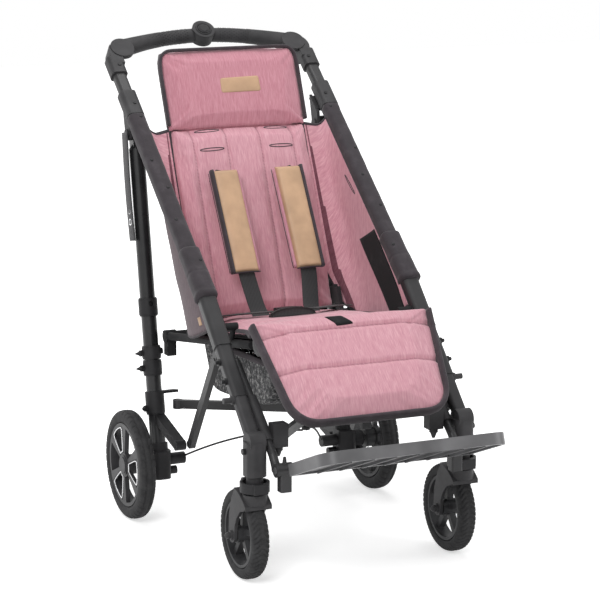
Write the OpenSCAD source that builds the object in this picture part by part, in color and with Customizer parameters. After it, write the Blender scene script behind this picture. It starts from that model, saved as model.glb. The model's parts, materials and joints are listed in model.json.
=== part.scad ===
// Special needs buggy: folding pushchair frame with tall padded seat.
// Millimetres, +Z up, front towards -Y, left and right mirrored about X = 0.
// Lengths along Y start from the front datum, just ahead of the front wheel contact.

/* [Frame tubes] */
// Axis of the main side tubes outside the seat cushion's side
tube_gap = 48; // [46:1:60]
// Main tube width across X
tube_w = 33; // [31:1:36]
// Main tube depth
tube_d = 26; // [25:1:30]
// Handle tube width across X
inner_w = 29; // [24:1:30]
// Handle tube depth
inner_d = 23; // [20:1:24]
// Wall that every moulded sleeve adds around its tube
sleeve_wall = 3; // [2:0.5:5]
// Slope of the main tube above the bend, degrees
tube_slope = 39.2; // [34:0.2:46]
// Slope of the main tube below the bend, degrees
lower_slope = 45; // [40:0.5:50]
// Bend of the main tube behind the front datum
bend_y = 217; // [180:1:250]
// Height of the bend
bend_z = 534; // [500:1:570]
// Tube length from the bend up to the leg joint
joint_s = 519; // [480:1:560]
// Length of the leg joint housing
joint_len = 69; // [55:1:90]
// Tube length from the leg joint to the handle elbow
handle_reach = 57; // [40:1:90]
// Length of the moulded collar under the bend
collar_len = 116; // [90:1:140]
// Length of bare main tube under the collar
bare_len = 122; // [90:1:150]

/* [Handle] */
// Length of the elbow socket
elbow_len = 56; // [45:1:70]
// Radius of the elbow's outer corner
elbow_r = 35; // [33:1:40]
// Radius of the grip's round end cap
knuckle_r = 27; // [25:1:30]
// Radius of the grip bar
grip_r = 16; // [13:0.5:20]
// Radius of the arch that the grips follow
arch_r = 640; // [500:10:800]
// Radius of the centre hub
hub_r = 26; // [22:1:32]
// Radius of the push button
button_r = 13.5; // [10:0.5:16]
// Stroke of the push button
button_stroke = 4; // [2:0.5:6]

/* [Front wheels] */
// Front wheel diameter
fwheel_d = 185; // [176:1:190]
// Front tyre width
fwheel_w = 36; // [32:1:42]
// Trail of the wheel axle behind the swivel axis
trail = 51; // [46:1:56]
// Swivel axis ahead of the front datum
swivel_lead = 26; // [20:1:32]
// Caster stem radius
stem_r = 9; // [7:0.5:11]
// Front axle radius
faxle_r = 5; // [4:0.5:7]
// Gap between tyre and fork
fork_gap = 4; // [3:0.5:8]
// Fork arm thickness
fork_t = 7; // [5:0.5:9]

/* [Rear wheels] */
// Rear wheel diameter
rwheel_d = 238; // [226:1:250]
// Rear tyre width
rwheel_w = 34; // [30:1:38]
// Middle of the rear wheels outside the rear legs' axes
rwheel_gap = 67; // [63:1:76]
// Rear axle behind the front datum
wheelbase = 517; // [500:1:530]
// Rear axle radius
raxle_r = 6; // [5:0.5:8]
// Number of wedge openings in the rear rim
spokes = 6; // [5:1:8]

/* [Rear legs] */
// Axis of the rear legs outside the seat cushion's side
leg_gap = 40; // [38:1:48]
// Rear leg tube radius
leg_r = 17; // [14:0.5:19]
// Leg pivot below the tube axis
pivot_drop = 43; // [40:1:55]
// Leg pivot pin radius
pivot_r = 6; // [5:0.5:8]
// Running clearance of every turning fit
run_gap = 0.05; // [0.02:0.01:0.1]
// Side clearance between moving pieces
side_gap = 0.4; // [0.3:0.1:1]

/* [Seat] */
// Half width of the seat cushion
seat_half = 184; // [160:1:190]
// Side of the back cushion inside the seat cushion's side
back_inset = 20; // [18:1:34]
// Back slope from the horizontal, degrees
back_slope = 67.5; // [60:0.5:80]
// Recline hinge behind the front datum
hinge_y = 414; // [390:1:430]
// Height of the recline hinge
hinge_z = 432; // [410:1:450]
// Recline hinge pin radius
hinge_r = 5; // [4:0.5:7]
// Length of the back below the head pad
back_len = 436; // [390:1:470]
// Length of the head pad
head_len = 184; // [150:1:200]
// Back cushion thickness
back_t = 34; // [24:1:44]
// Height of the seat's knee edge
knee_z = 510; // [490:1:530]
// Knee edge behind the front datum
knee_y = 78; // [60:1:95]
// Length of the calf pad
calf_len = 230; // [190:1:260]
// Slope of the calf pad, degrees
calf_slope = 47; // [40:1:60]
// Overhang of the calf pad past the seat cushion's side at the knee
calf_over = 19; // [0:1:24]
// Narrowing of the calf pad from knee to foot, on each side
calf_taper = 29; // [10:1:50]

/* [Footrest] */
// Axis of the footrest hangers inside the main tubes' axes
hanger_gap = 32; // [28:1:37]
// Hanger tube radius
hanger_r = 9; // [7:0.5:10]
// Length of the hanger tube
hanger_len = 236; // [200:1:260]
// Wall of the guide that the hanger slides in
guide_wall = 4; // [3:0.5:5]
// Side of the footplate outside the hangers' axes
plate_over = 1; // [-6:1:6]
// Depth of the footplate
plate_len = 222; // [190:1:240]
// Upward tilt of the footplate, degrees
plate_tilt = 21.5; // [10:0.5:30]
// Corner radius of the footplate
plate_r = 38; // [25:1:50]
// Height of the footplate rim
rim_h = 24; // [16:1:30]
// Footplate pivot radius
plate_pin_r = 7; // [5:0.5:9]

/* [Accessories] */
// Accessory pin radius
acc_r = 6; // [5:0.5:8]
// Accessory pin length outside the tube
acc_len = 20; // [15:1:26]

/* [Hidden] */
$fn = 48;
eps = 0.01;

// Widths that follow the seat
tube_x = seat_half + tube_gap;
leg_x = seat_half + leg_gap;
rwheel_x = leg_x + rwheel_gap;
back_half = seat_half - back_inset;
calf_top_half = seat_half + calf_over;
calf_low_half = calf_top_half - calf_taper;
hanger_x = tube_x - hanger_gap;
plate_half = hanger_x + plate_over;

// Stations along the side tube
join_s = joint_s + joint_len - 28;
elbow_s = joint_s + joint_len + handle_reach;
arch_s = elbow_s + elbow_len + 60;
bare_s = collar_len + bare_len;

// Points in the side plane, from a station and an offset above the tube axis
function up_y(s, n) = bend_y + s * cos(tube_slope) - n * sin(tube_slope);
function up_z(s, n) = bend_z + s * sin(tube_slope) + n * cos(tube_slope);
function low_y(s, n) = bend_y - s * cos(lower_slope) - n * sin(lower_slope);
function low_z(s, n) = bend_z - s * sin(lower_slope) + n * cos(lower_slope);
function back_y(s, n) = hinge_y + s * cos(back_slope) - n * sin(back_slope);
function back_z(s, n) = hinge_z + s * sin(back_slope) + n * cos(back_slope);

// Front leg and caster
swivel_y = -swivel_lead;
fwheel_y = swivel_y + trail;
knee_s = (bend_y - swivel_y) / cos(lower_slope);
knee_h = low_z(knee_s, 0);
fwheel_r = fwheel_d / 2;
leg_foot_z = 226;
crown_z = fwheel_r + 97;
neck_z = crown_z + side_gap;

// Rear leg
pivot_s = joint_s - 6;
pivot_y = up_y(pivot_s, -pivot_drop);
pivot_z = up_z(pivot_s, -pivot_drop);
rwheel_r = rwheel_d / 2;
axle_z = rwheel_r;
leg_dy = pivot_y - wheelbase;
leg_dz = pivot_z - axle_z;
leg_len = sqrt(leg_dy * leg_dy + leg_dz * leg_dz);
leg_lean = atan2(leg_dy, leg_dz);
eye_half = 11;
cheek_t = 7;
cheek_out = eye_half + side_gap + cheek_t;

// Seat
seat_drop = knee_z - 22 - hinge_z;
seat_run = hinge_y - knee_y;
seat_tilt = atan2(seat_drop - 2, seat_run);
rail_x = seat_half + 3;
rail_r = 9;
// Strut foot in front of the rear leg
foot_y = 402;
foot_z = 182;
// Ends of the brace bars, and the point where they cross
bar_rear = [leg_x - 38, 500, 237];
bar_front = [tube_x - 60, -6, 300];
cross_y = bar_rear[1] - (bar_rear[1] - bar_front[1]) * bar_rear[0] / (bar_rear[0] + bar_front[0]);
// Cross tubes between the seat rails, ahead of the recline hinge
rear_tie = 40;
front_tie = seat_run - 6;
// Rear overhang of the seat rails behind the recline hinge
rail_tail = 148;

// Footrest
hang_y = 140;
hang_z = 417;
hang_end_y = hang_y - hanger_len * cos(tube_slope);
hang_end_z = hang_z - hanger_len * sin(tube_slope);
plate_y = hang_end_y - 34;
plate_z = hang_end_z - 22;
guide_s0 = 92;
guide_len = 112;
plate_back = 46;
rim_low = -18;

// Handle hub in front of and behind the tube axis
hub_front = 20;
hub_back = 10;

// Shift that centres the part between the footplate's front edge and the handle hub
front_y = plate_y - plate_len * cos(plate_tilt) + rim_low * sin(plate_tilt);
rear_y = up_y(arch_s + hub_r, -hub_back);
y_mid = (front_y + rear_y) / 2;

module placed() translate([0, -y_mid, 0]) children();
module upper(x) translate([x, bend_y, bend_z]) rotate([tube_slope - 90, 0, 0]) children();
module lower(x) translate([x, bend_y, bend_z]) rotate([lower_slope + 90, 0, 0]) children();
module backed() translate([0, hinge_y, hinge_z]) rotate([back_slope - 90, 0, 0]) children();
module right() mirror([1, 0, 0]) children();
module both() {
    children();
    mirror([1, 0, 0]) children();
}

// Rounded rectangle drawn from squares and circles
module rrect(w, d, r) {
    square([w - 2 * r, d], center = true);
    square([w, d - 2 * r], center = true);
    for (sx = [-1, 1])
        for (sy = [-1, 1])
            translate([sx * (w / 2 - r), sy * (d / 2 - r)]) circle(r);
}

// Side plane outline pushed out from x0 to x1
module side(x0, x1) translate([x0, 0, 0]) rotate([90, 0, 90]) linear_extrude(x1 - x0) children();

// Cylinder along X from x0 to x1
module xrod(x0, x1, y, z, r) translate([x0, y, z]) rotate([0, 90, 0]) cylinder(r = r, h = x1 - x0);

// Rod between two points
module rod(p, q, r) {
    v = q - p;
    l = norm(v);
    translate(p) rotate([0, acos(v[2] / l), atan2(v[1], v[0])]) cylinder(r = r, h = l);
}

// Upright rectangular bar between two points
module bar(p, q, w, h) {
    v = q - p;
    l = norm(v);
    translate(p) rotate([0, -asin(v[2] / l), atan2(v[1], v[0])]) translate([0, -w / 2, -h / 2])
        cube([l, w, h]);
}

// Closed sheet between two grids of points
module quilt(us, vs, top, low) {
    nu = len(us);
    nv = len(vs);
    pts = concat([for (v = vs) for (u = us) top(u, v)], [for (v = vs) for (u = us) low(u, v)]);
    m = nu * nv;
    tops = [for (j = [0:nv - 2]) for (i = [0:nu - 2]) each
        [[j * nu + i, (j + 1) * nu + i, (j + 1) * nu + i + 1],
        [j * nu + i, (j + 1) * nu + i + 1, j * nu + i + 1]]];
    lows = [for (f = tops) [f[0] + m, f[2] + m, f[1] + m]];
    rim = concat([for (i = [0:nu - 1]) i], [for (j = [1:nv - 1]) j * nu + nu - 1],
        [for (i = [nu - 2:-1:0]) (nv - 1) * nu + i], [for (j = [nv - 2:-1:1]) j * nu]);
    k = len(rim);
    walls = [for (i = [0:k - 1]) each [[rim[i], rim[(i + 1) % k], rim[(i + 1) % k] + m],
        [rim[i], rim[(i + 1) % k] + m, rim[i] + m]]];
    polyhedron(points = pts, faces = concat(tops, lows, walls), convexity = 8);
}

// Soft edge profile: 0 at an edge, 1 in the middle
function swell(t) = pow(max(0, 1 - pow(abs(2 * t - 1), 4)), 0.5);
// Dip of a sewn seam at place s with width w
function seam(x, s, w) = exp(-pow((x - s) / w, 2));
// Sum of the dips of a list of seams
function seams(x, list, w, i = 0) = i >= len(list) ? 0 : seam(x, list[i], w) + seams(x, list, w, i + 1);

module main_tube_side() {
    upper(-tube_x) {
        translate([0, 0, -2]) linear_extrude(join_s + 2) rrect(tube_w, tube_d, 9);
        translate([0, 0, join_s - eps]) linear_extrude(elbow_s + 46 - join_s) rrect(inner_w, inner_d, 8);
    }
    lower(-tube_x) {
        linear_extrude(bare_s) rrect(tube_w, tube_d, 9);
        linear_extrude(collar_len) rrect(tube_w + 4, tube_d + 4, 10);
    }
}
module main_tube_left() color("#3d3c3e") placed() main_tube_side();
module main_tube_right() color("#3d3c3e") placed() right() main_tube_side();

// Elbow: socket on the handle tube and a round corner lapped under the grip's end
knuckle_x = -tube_x + 25;
knuckle_s = elbow_s + elbow_len + 16;
lap_n = 7;
module elbow_side() {
    socket_w = inner_w + 2 * sleeve_wall + 2;
    upper(0) difference() {
        union() {
            translate([-tube_x, 0, elbow_s]) linear_extrude(elbow_len - 8)
                rrect(socket_w, inner_d + 2 * sleeve_wall + 2, 10);
            intersection() {
                translate([knuckle_x, 15.5, knuckle_s - 12]) rotate([90, 0, 0]) cylinder(r = elbow_r, h = 31);
                translate([-tube_x - 40, -30, elbow_s + 6]) cube([40 + socket_w / 2, 60, 120]);
            }
        }
        translate([-tube_x, 0, elbow_s - 1]) linear_extrude(47) rrect(inner_w, inner_d, 8);
        translate([knuckle_x, -lap_n, knuckle_s]) rotate([90, 0, 0]) cylinder(r = knuckle_r + side_gap, h = 40);
    }
}
module handle_elbow_left() color("#444345") placed() elbow_side();
module handle_elbow_right() color("#444345") placed() right() elbow_side();

// Grip: round end cap, arched bar and one lap of the centre hub
module grip_bar() {
    sweep = asin((-knuckle_x - 14) / arch_r);
    translate([knuckle_x, -lap_n, knuckle_s]) rotate([90, 0, 0]) cylinder(r = knuckle_r, h = 10.3);
    translate([0, 0, arch_s - arch_r]) rotate([90, 0, 0]) rotate([0, 0, 90])
        rotate_extrude(angle = sweep, $fn = 160) translate([arch_r, 0]) circle(grip_r);
}
module handle_grip_left() color("#3f3e40") placed() upper(0) {
    difference() {
        grip_bar();
        translate([0, 0.7, arch_s]) rotate([90, 0, 0]) cylinder(r = hub_r + side_gap, h = 60);
    }
    translate([0, hub_back, arch_s]) rotate([90, 0, 0]) cylinder(r = hub_r, h = hub_back - 1);
}
module handle_grip_right() color("#3f3e40") placed() upper(0) {
    difference() {
        union() {
            difference() {
                mirror([1, 0, 0]) grip_bar();
                translate([0, 60.7, arch_s]) rotate([90, 0, 0]) cylinder(r = hub_r + side_gap, h = 60);
            }
            translate([0, 0.7, arch_s]) rotate([90, 0, 0]) cylinder(r = hub_r, h = hub_front + 0.7);
        }
        translate([0, -8, arch_s]) rotate([90, 0, 0]) cylinder(r = button_r + run_gap, h = 40);
    }
}
module handle_button() color("#242324") placed() upper(0)
    translate([0, -8 - button_stroke - 1, arch_s]) rotate([90, 0, 0]) {
        cylinder(r = button_r, h = 9);
        translate([0, 0, 8]) cylinder(r1 = button_r - 1, r2 = button_r - 4, h = 2.4);
    }

// Housing that joins tube, handle tube and rear leg, with the leg's pivot pin
module joint_side() {
    difference() {
        union() {
            upper(-tube_x) {
                translate([0, 0, joint_s]) linear_extrude(joint_len)
                    rrect(tube_w + 2 * sleeve_wall, tube_d + 2 * sleeve_wall, 11);
            }
            cheek(-leg_x - cheek_out, -leg_x - eye_half - side_gap);
            cheek(-leg_x + eye_half + side_gap, -leg_x + cheek_out);
            upper(-leg_x) translate([-cheek_out, tube_d / 2 + 1, joint_s + 12])
                cube([2 * cheek_out, 9, joint_len - 30]);
        }
        upper(-tube_x) {
            translate([0, 0, joint_s - 60]) linear_extrude(join_s - joint_s + 60) rrect(tube_w, tube_d, 9);
            translate([0, 0, join_s - 1]) linear_extrude(60) rrect(inner_w, inner_d, 8);
        }
    }
    xrod(-leg_x - cheek_out - 4, -leg_x + cheek_out + 4, pivot_y, pivot_z, pivot_r);
    both_heads();
}
module both_heads() {
    xrod(-leg_x - cheek_out - 4, -leg_x - cheek_out, pivot_y, pivot_z, pivot_r + 4);
    xrod(-leg_x + cheek_out, -leg_x + cheek_out + 4, pivot_y, pivot_z, pivot_r + 4);
}
module cheek(x0, x1) side(x0, x1) {
    translate([pivot_y, pivot_z]) circle(15);
    polygon([[pivot_y - 15 * sin(tube_slope + 60), pivot_z + 15 * cos(tube_slope + 60)],
        [up_y(joint_s + 2, -tube_d / 2 - 2), up_z(joint_s + 2, -tube_d / 2 - 2)],
        [up_y(joint_s + 56, -tube_d / 2 - 2), up_z(joint_s + 56, -tube_d / 2 - 2)],
        [pivot_y + 15 * cos(tube_slope - 40), pivot_z + 15 * sin(tube_slope - 40)]]);
}
module leg_joint_left() color("#434244") placed() joint_side();
module leg_joint_right() color("#434244") placed() right() joint_side();

// Lower leg: neck tube, knee casting, swivel socket and the lug of the swivel lock
lock_y = swivel_y + 30;
lock_z = leg_foot_z - 18;
lug_half = 6;
module front_leg_side() {
    difference() {
        union() {
            lower(-tube_x) translate([0, 0, bare_s]) linear_extrude(knee_s - bare_s + 6) rrect(inner_w, inner_d, 8);
            translate([-tube_x, swivel_y, leg_foot_z]) linear_extrude(knee_h - leg_foot_z + 4) rrect(42, 42, 14);
            translate([-tube_x, swivel_y, knee_h + 4]) rotate([0, 90, 0])
                cylinder(r = 20, h = 34, center = true);
            translate([-tube_x, swivel_y, neck_z]) cylinder(r = 17, h = leg_foot_z - neck_z + 1);
            side(-tube_x - lug_half, -tube_x + lug_half) {
                translate([lock_y, lock_z]) circle(7);
                translate([lock_y - 12, lock_z]) square([19, leg_foot_z - lock_z + 12]);
            }
            xrod(-tube_x - 16, -tube_x + 16, lock_y, lock_z, 3.5);
        }
        translate([-tube_x, swivel_y, neck_z - 1]) cylinder(r = stem_r + run_gap, h = 76);
    }
}
module front_leg_left() color("#434244") placed() front_leg_side();
module front_leg_right() color("#434244") placed() right() front_leg_side();

// Caster fork: stem, crown, hood over the tyre and two broad arms with the axle between them
module fork_shape() {
    half_in = fwheel_w / 2 + fork_gap;
    half_out = half_in + fork_t;
    hood_r = fwheel_r + fork_gap;
    difference() {
        translate([0, swivel_y, fwheel_r + 76]) cylinder(r = 25, h = crown_z - fwheel_r - 76);
        xrod(-half_out, half_out, fwheel_y, fwheel_r, hood_r);
    }
    translate([0, swivel_y, crown_z - 1]) cylinder(r = stem_r, h = 72);
    for (sx = [-1, 1])
        side(sx > 0 ? half_in : -half_out, sx > 0 ? half_out : -half_in) {
            translate([fwheel_y, fwheel_r]) circle(15);
            polygon([[fwheel_y - 15, fwheel_r], [fwheel_y - 16, fwheel_r + 22], [fwheel_y - 26, fwheel_r + 42],
                [fwheel_y - 44, fwheel_r + 60], [fwheel_y - 64, fwheel_r + 66], [fwheel_y - 68, fwheel_r + 74],
                [fwheel_y - 50, fwheel_r + 88], [fwheel_y - 14, fwheel_r + 98], [fwheel_y, fwheel_r + 78],
                [fwheel_y + 12, fwheel_r + 44], [fwheel_y + 15, fwheel_r]]);
        }
    intersection() {
        translate([-half_out, fwheel_y, fwheel_r]) rotate([0, 90, 0]) difference() {
            cylinder(r = hood_r + 6, h = 2 * half_out, $fn = 96);
            translate([0, 0, -1]) cylinder(r = hood_r, h = 2 * half_out + 2, $fn = 96);
        }
        side(-half_out, half_out) polygon([[fwheel_y - 70, fwheel_r + 66], [fwheel_y - 40, fwheel_r + 66],
            [fwheel_y - 12, fwheel_r + 90], [fwheel_y - 12, fwheel_r + 110], [fwheel_y - 70, fwheel_r + 110]]);
    }
    xrod(-half_out - 3, half_out + 3, fwheel_y, fwheel_r, faxle_r);
    for (sx = [-1, 1]) {
        xrod(sx > 0 ? half_out - 1 : -half_out - 3, sx > 0 ? half_out + 3 : -half_out + 1, fwheel_y, fwheel_r, 10);
        xrod(sx > 0 ? half_out + 2 : -half_out - 9, sx > 0 ? half_out + 9 : -half_out - 2, fwheel_y, fwheel_r, 7);
        translate([sx * (half_out + 9), fwheel_y, fwheel_r]) sphere(r = 5.5, $fn = 32);
    }
}
module caster_fork_left() color("#454446") placed() translate([-tube_x, 0, 0]) fork_shape();
module caster_fork_right() color("#454446") placed() translate([tube_x, 0, 0]) fork_shape();

// Swivel lock: ring lever around the leg's neck, hinged behind it
lock_low = crown_z + 4.5;
lock_h = 20;
module lock_shape() difference() {
    union() {
        translate([0, swivel_y, lock_low]) cylinder(r = 30, h = lock_h);
        translate([-15, swivel_y - 34, lock_low]) cube([30, 12, lock_h + 1]);
        for (sx = [-1, 1]) {
            xrod(sx > 0 ? lug_half + side_gap : -14, sx > 0 ? 14 : -lug_half - side_gap, lock_y, lock_z, 8);
            translate([sx > 0 ? lug_half + side_gap : -14, swivel_y + 20, lock_low])
                cube([14 - lug_half - side_gap, 10, lock_h - 4]);
        }
    }
    translate([0, swivel_y, lock_low - 1]) cylinder(r = 25, h = lock_h + 6);
    translate([-lug_half - side_gap, swivel_y + 10, lock_low - 1]) cube([2 * (lug_half + side_gap), 40, lock_h + 6]);
    xrod(-20, 20, lock_y, lock_z, 3.5 + run_gap);
}
module caster_lock_left() color("#39383a") placed() translate([-tube_x, 0, 0]) lock_shape();
module caster_lock_right() color("#39383a") placed() translate([tube_x, 0, 0]) lock_shape();

// Tyre with rounded shoulders on a flat seat
module tyre(r, w, seat) rotate([0, 90, 0]) rotate_extrude($fn = 96) difference() {
    union() {
        translate([seat, -w / 2 + 6]) square([r - seat - 14, w - 12]);
        translate([seat, -w / 2]) square([r - seat - 22, w]);
        for (sx = [-1, 1]) translate([r - 22, sx * (w / 2 - 14)]) circle(14);
        translate([r - w / 2 - 4, 0]) intersection() {
            circle(w / 2 + 4);
            translate([0, -w / 2 + 5]) square([w, w - 10]);
        }
    }
    translate([0, -w]) square([seat, 2 * w]);
}
// Rim wedge: opening between two spokes
module wedge(r0, r1, half) intersection() {
    difference() {
        circle(r1);
        circle(r0);
    }
    polygon([[0, 0], [2 * r1 * cos(half), -2 * r1 * sin(half)], [2 * r1 * cos(half), 2 * r1 * sin(half)]]);
}
module front_tyre(x) translate([x, fwheel_y, fwheel_r]) tyre(fwheel_r, fwheel_w, fwheel_r - 24);
module front_tyre_left() color("#38373a") placed() front_tyre(-tube_x);
module front_tyre_right() color("#38373a") placed() front_tyre(tube_x);
module front_rim(x) translate([x, fwheel_y, fwheel_r]) rotate([0, 90, 0]) difference() {
    union() {
        difference() {
            translate([0, 0, -15]) cylinder(r = fwheel_r - 24, h = 30, $fn = 96);
            translate([0, 0, -16]) cylinder(r = fwheel_r - 30, h = 32, $fn = 96);
        }
        translate([0, 0, -fwheel_w / 2 - 2]) cylinder(r = 17, h = fwheel_w + 4);
        for (i = [0:4]) rotate([0, 0, 36 + i * 72]) translate([14, -6, -7]) cube([fwheel_r - 40, 12, 14]);
    }
    translate([0, 0, -60]) cylinder(r = faxle_r + run_gap, h = 120);
}
module front_rim_left() color("#4a494b") placed() front_rim(-tube_x);
module front_rim_right() color("#4a494b") placed() front_rim(tube_x);

module rear_tyre(x) translate([x, wheelbase, rwheel_r]) tyre(rwheel_r, rwheel_w, rwheel_r - 28);
module rear_tyre_left() color("#38373a") placed() rear_tyre(-rwheel_x);
module rear_tyre_right() color("#38373a") placed() rear_tyre(rwheel_x);
// Rear rim, drawn with its outer face towards -Z
module rear_rim_shape() difference() {
    union() {
        difference() {
            translate([0, 0, -15]) cylinder(r = rwheel_r - 28, h = 30, $fn = 96);
            translate([0, 0, -5]) cylinder(r = rwheel_r - 35, h = 30, $fn = 96);
            translate([0, 0, -20]) linear_extrude(40)
                for (i = [0:spokes - 1]) rotate(i * 360 / spokes + 30) wedge(26, rwheel_r - 36, 180 / spokes - 7);
        }
        translate([0, 0, -18]) cylinder(r = 22, h = 36);
        translate([0, 0, -20]) cylinder(r = 18, h = 4);
    }
    translate([0, 0, -15]) cylinder(r = raxle_r + run_gap, h = 60);
}
module rear_rim_left() color("#4a494b") placed()
    translate([-rwheel_x, wheelbase, rwheel_r]) rotate([0, 90, 0]) rear_rim_shape();
module rear_rim_right() color("#4a494b") placed()
    right() translate([-rwheel_x, wheelbase, rwheel_r]) rotate([0, 90, 0]) rear_rim_shape();

// Rear leg: eye on the pivot pin, flat tang and round tube
module along_leg() translate([-leg_x, wheelbase, axle_z]) rotate([-leg_lean, 0, 0]) children();
module rear_leg_side() along_leg() difference() {
    union() {
        translate([0, 0, 26]) cylinder(r = leg_r, h = leg_len - 26 - 34);
        translate([0, 0, leg_len - 35]) cylinder(r1 = leg_r, r2 = eye_half, h = 14);
        translate([-eye_half, -13, leg_len - 36]) cube([2 * eye_half, 26, 36]);
        translate([-eye_half, 0, leg_len]) rotate([0, 90, 0]) cylinder(r = 16, h = 2 * eye_half);
    }
    translate([-30, 0, leg_len]) rotate([0, 90, 0]) cylinder(r = pivot_r + run_gap, h = 60);
}
module rear_leg_left() color("#2c2b2d") placed() rear_leg_side();
module rear_leg_right() color("#2c2b2d") placed() right() rear_leg_side();

// Rings clamped on the rear legs: heights above the axle along the leg
ring_low = [103, 188, 224, 318];
ring_high = [131, 222, 253, 358];
ring_wall = 4;
lug_h = 100;
lug_in = -hanger_x - hanger_r - 1;
module clamp_side() {
    along_leg() for (i = [0:3]) difference() {
        union() {
            translate([0, 0, ring_low[i]]) cylinder(r = leg_r + ring_wall - 1, h = ring_high[i] - ring_low[i]);
            translate([0, 0, ring_low[i] + 3]) cylinder(r = leg_r + ring_wall, h = ring_high[i] - ring_low[i] - 6);
        }
        if (i == 3) translate([0, 0, (ring_low[3] + ring_high[3]) / 2]) rotate([70, 0, 0]) cylinder(r = 6, h = 60);
    }
    // Forward arm that meets the foot of the diagonal strut
    side(-leg_x - 8, lug_in) {
        hull_bar([wheelbase + lug_h * sin(leg_lean), axle_z + lug_h * cos(leg_lean)], [foot_y, foot_z], 20);
        translate([foot_y, foot_z]) circle(11);
    }
    // Top plate over the brace bar's end
    along_leg() translate([leg_r - 2, -14, 147]) cube([36, 26, 6]);
    along_leg() translate([0, 0, ring_high[0] - 4]) cylinder(r = leg_r + ring_wall, h = 26);
}
module leg_clamps() color("#3a393b") placed() both() difference() {
    clamp_side();
    along_leg() translate([0, 0, 20]) cylinder(r = leg_r, h = 400);
}
// Pointed thumb screws on the clamp rings
module clamp_screws() color("#262527") placed() both() along_leg() {
    for (z = [205, 238]) translate([-leg_r - ring_wall + 1, 0, z]) rotate([0, -90, 0]) {
        cylinder(r = 7, h = 8);
        translate([0, 0, 8]) cylinder(r1 = 5, r2 = 1.2, h = 10);
    }
    translate([-leg_r - ring_wall + 1, 0, 117]) rotate([0, -90, 0]) {
        cylinder(r = 7, h = 6);
        translate([0, 0, 6]) sphere(r = 5, $fn = 24);
    }
    translate([leg_r + ring_wall - 1, 0, 240]) rotate([0, 90, 0]) cylinder(r = 7, h = 5);
}

// Axle housing at the foot of the leg, with the brake's pivot pin behind it
brake_y = wheelbase + 40;
brake_z = axle_z + 2;
brake_r = 4;
brake_in = -leg_x + 20;
brake_out = -leg_x - 16;
module housing_side() {
    difference() {
        union() {
            translate([-leg_x, wheelbase, axle_z - 36]) linear_extrude(62) rrect(2 * leg_r + 8, 54, 14);
            xrod(-rwheel_x + 24, -leg_x, wheelbase, axle_z, 17);
            xrod(-leg_x, -leg_x + 58, wheelbase, axle_z + 2, 13);
            xrod(-leg_x, -leg_x + 40, wheelbase + 2, axle_z - 24, 9);
            along_leg() cylinder(r = leg_r + 4, h = 40);
        }
        along_leg() translate([0, 0, 26]) cylinder(r = leg_r, h = 60);
        xrod(-rwheel_x - 10, -leg_x + 10, wheelbase, axle_z, raxle_r);
        translate([-leg_x - 30, wheelbase + 27, axle_z + 2]) cube([60, 20, 40]);
    }
    side(brake_out - side_gap - 5, brake_out - side_gap) {
        translate([brake_y, brake_z]) circle(8);
        translate([wheelbase + 10, brake_z - 8]) square([30, 16]);
    }
    xrod(brake_out - side_gap - 2, brake_in - 6, brake_y, brake_z, brake_r);
}
module axle_housing_left() color("#39383a") placed() housing_side();
module axle_housing_right() color("#39383a") placed() right() housing_side();
module rear_axles() color("#5a5a5c") placed() both()
    xrod(-rwheel_x - 14, -leg_x + 10, wheelbase, axle_z, raxle_r);

// Foot pedals of the parking brake, behind the housings
module pedal_side() difference() {
    side(brake_out, brake_in) {
        translate([brake_y, brake_z]) circle(9);
        polygon([[brake_y - 3, brake_z - 8], [brake_y + 48, brake_z + 4], [brake_y + 48, brake_z + 10],
            [brake_y, brake_z + 9]]);
    }
    xrod(-leg_x - 20, brake_in - 5, brake_y, brake_z, brake_r + run_gap);
}
module brake_pedal_left() color("#2a292b") placed() pedal_side();
module brake_pedal_right() color("#2a292b") placed() right() pedal_side();
// Brake cable from each housing forward to the centre bolt of the crossed bars
cable_r = 2.2;
cable_from = [-163.7, wheelbase - 5, axle_z + 8];
cable_to = [-5, cross_y + 6, 230.4];
cable_bow = 14;
module cable_side() {
    v = cable_to - cable_from;
    chord = norm(v);
    bend_r = (chord * chord / 4 + cable_bow * cable_bow) / (2 * cable_bow);
    half = asin(chord / 2 / bend_r);
    translate(cable_from) rotate([0, 0, atan2(v[1], v[0])]) rotate([90, 0, 0]) rotate([0, 0, asin(v[2] / chord)])
        translate([chord / 2, cable_bow - bend_r, 0]) rotate([0, 0, 90 - half])
            rotate_extrude(angle = 2 * half, $fn = 240) translate([bend_r, 0]) circle(cable_r);
}
module brake_cable() color("#1f1e20") placed() both() cable_side();
// Webbing hand strap hanging outside the left leg
strap_h = 484;
strap_len = 236;
strap_tie = 186;
module hand_strap() color("#343336") placed() along_leg()
    translate([-leg_r - 9, -16, strap_h]) difference() {
        union() {
            cube([3, 32, strap_len]);
            translate([0, 0, strap_tie]) cube([10, 32, 5]);
        }
        for (z = [41, 65]) translate([-1, 16, z]) rotate([0, 90, 0]) cylinder(r = 5, h = 6);
        translate([leg_r + 9, 16, -1]) cylinder(r = leg_r, h = strap_len + 2);
    }

// Crossed bars under the seat, one passing over the other
bar_w = 12;
bar_t = 19;
bar_rise = 10.2;
module brace(s) difference() {
    union() {
        bar([-s * bar_rear[0], bar_rear[1], bar_rear[2] + s * bar_rise],
            [s * bar_front[0], bar_front[1], bar_front[2] + s * bar_rise], bar_w, bar_t);
        translate([-s * bar_rear[0], bar_rear[1], bar_rear[2] + s * bar_rise - bar_t / 2]) cylinder(r = 11, h = bar_t);
    }
    translate([0, cross_y, 200]) cylinder(r = 5, h = 140);
}
module brace_bar_a() color("#4b4a4c") placed() brace(1);
module brace_bar_b() color("#4b4a4c") placed() brace(-1);

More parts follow.
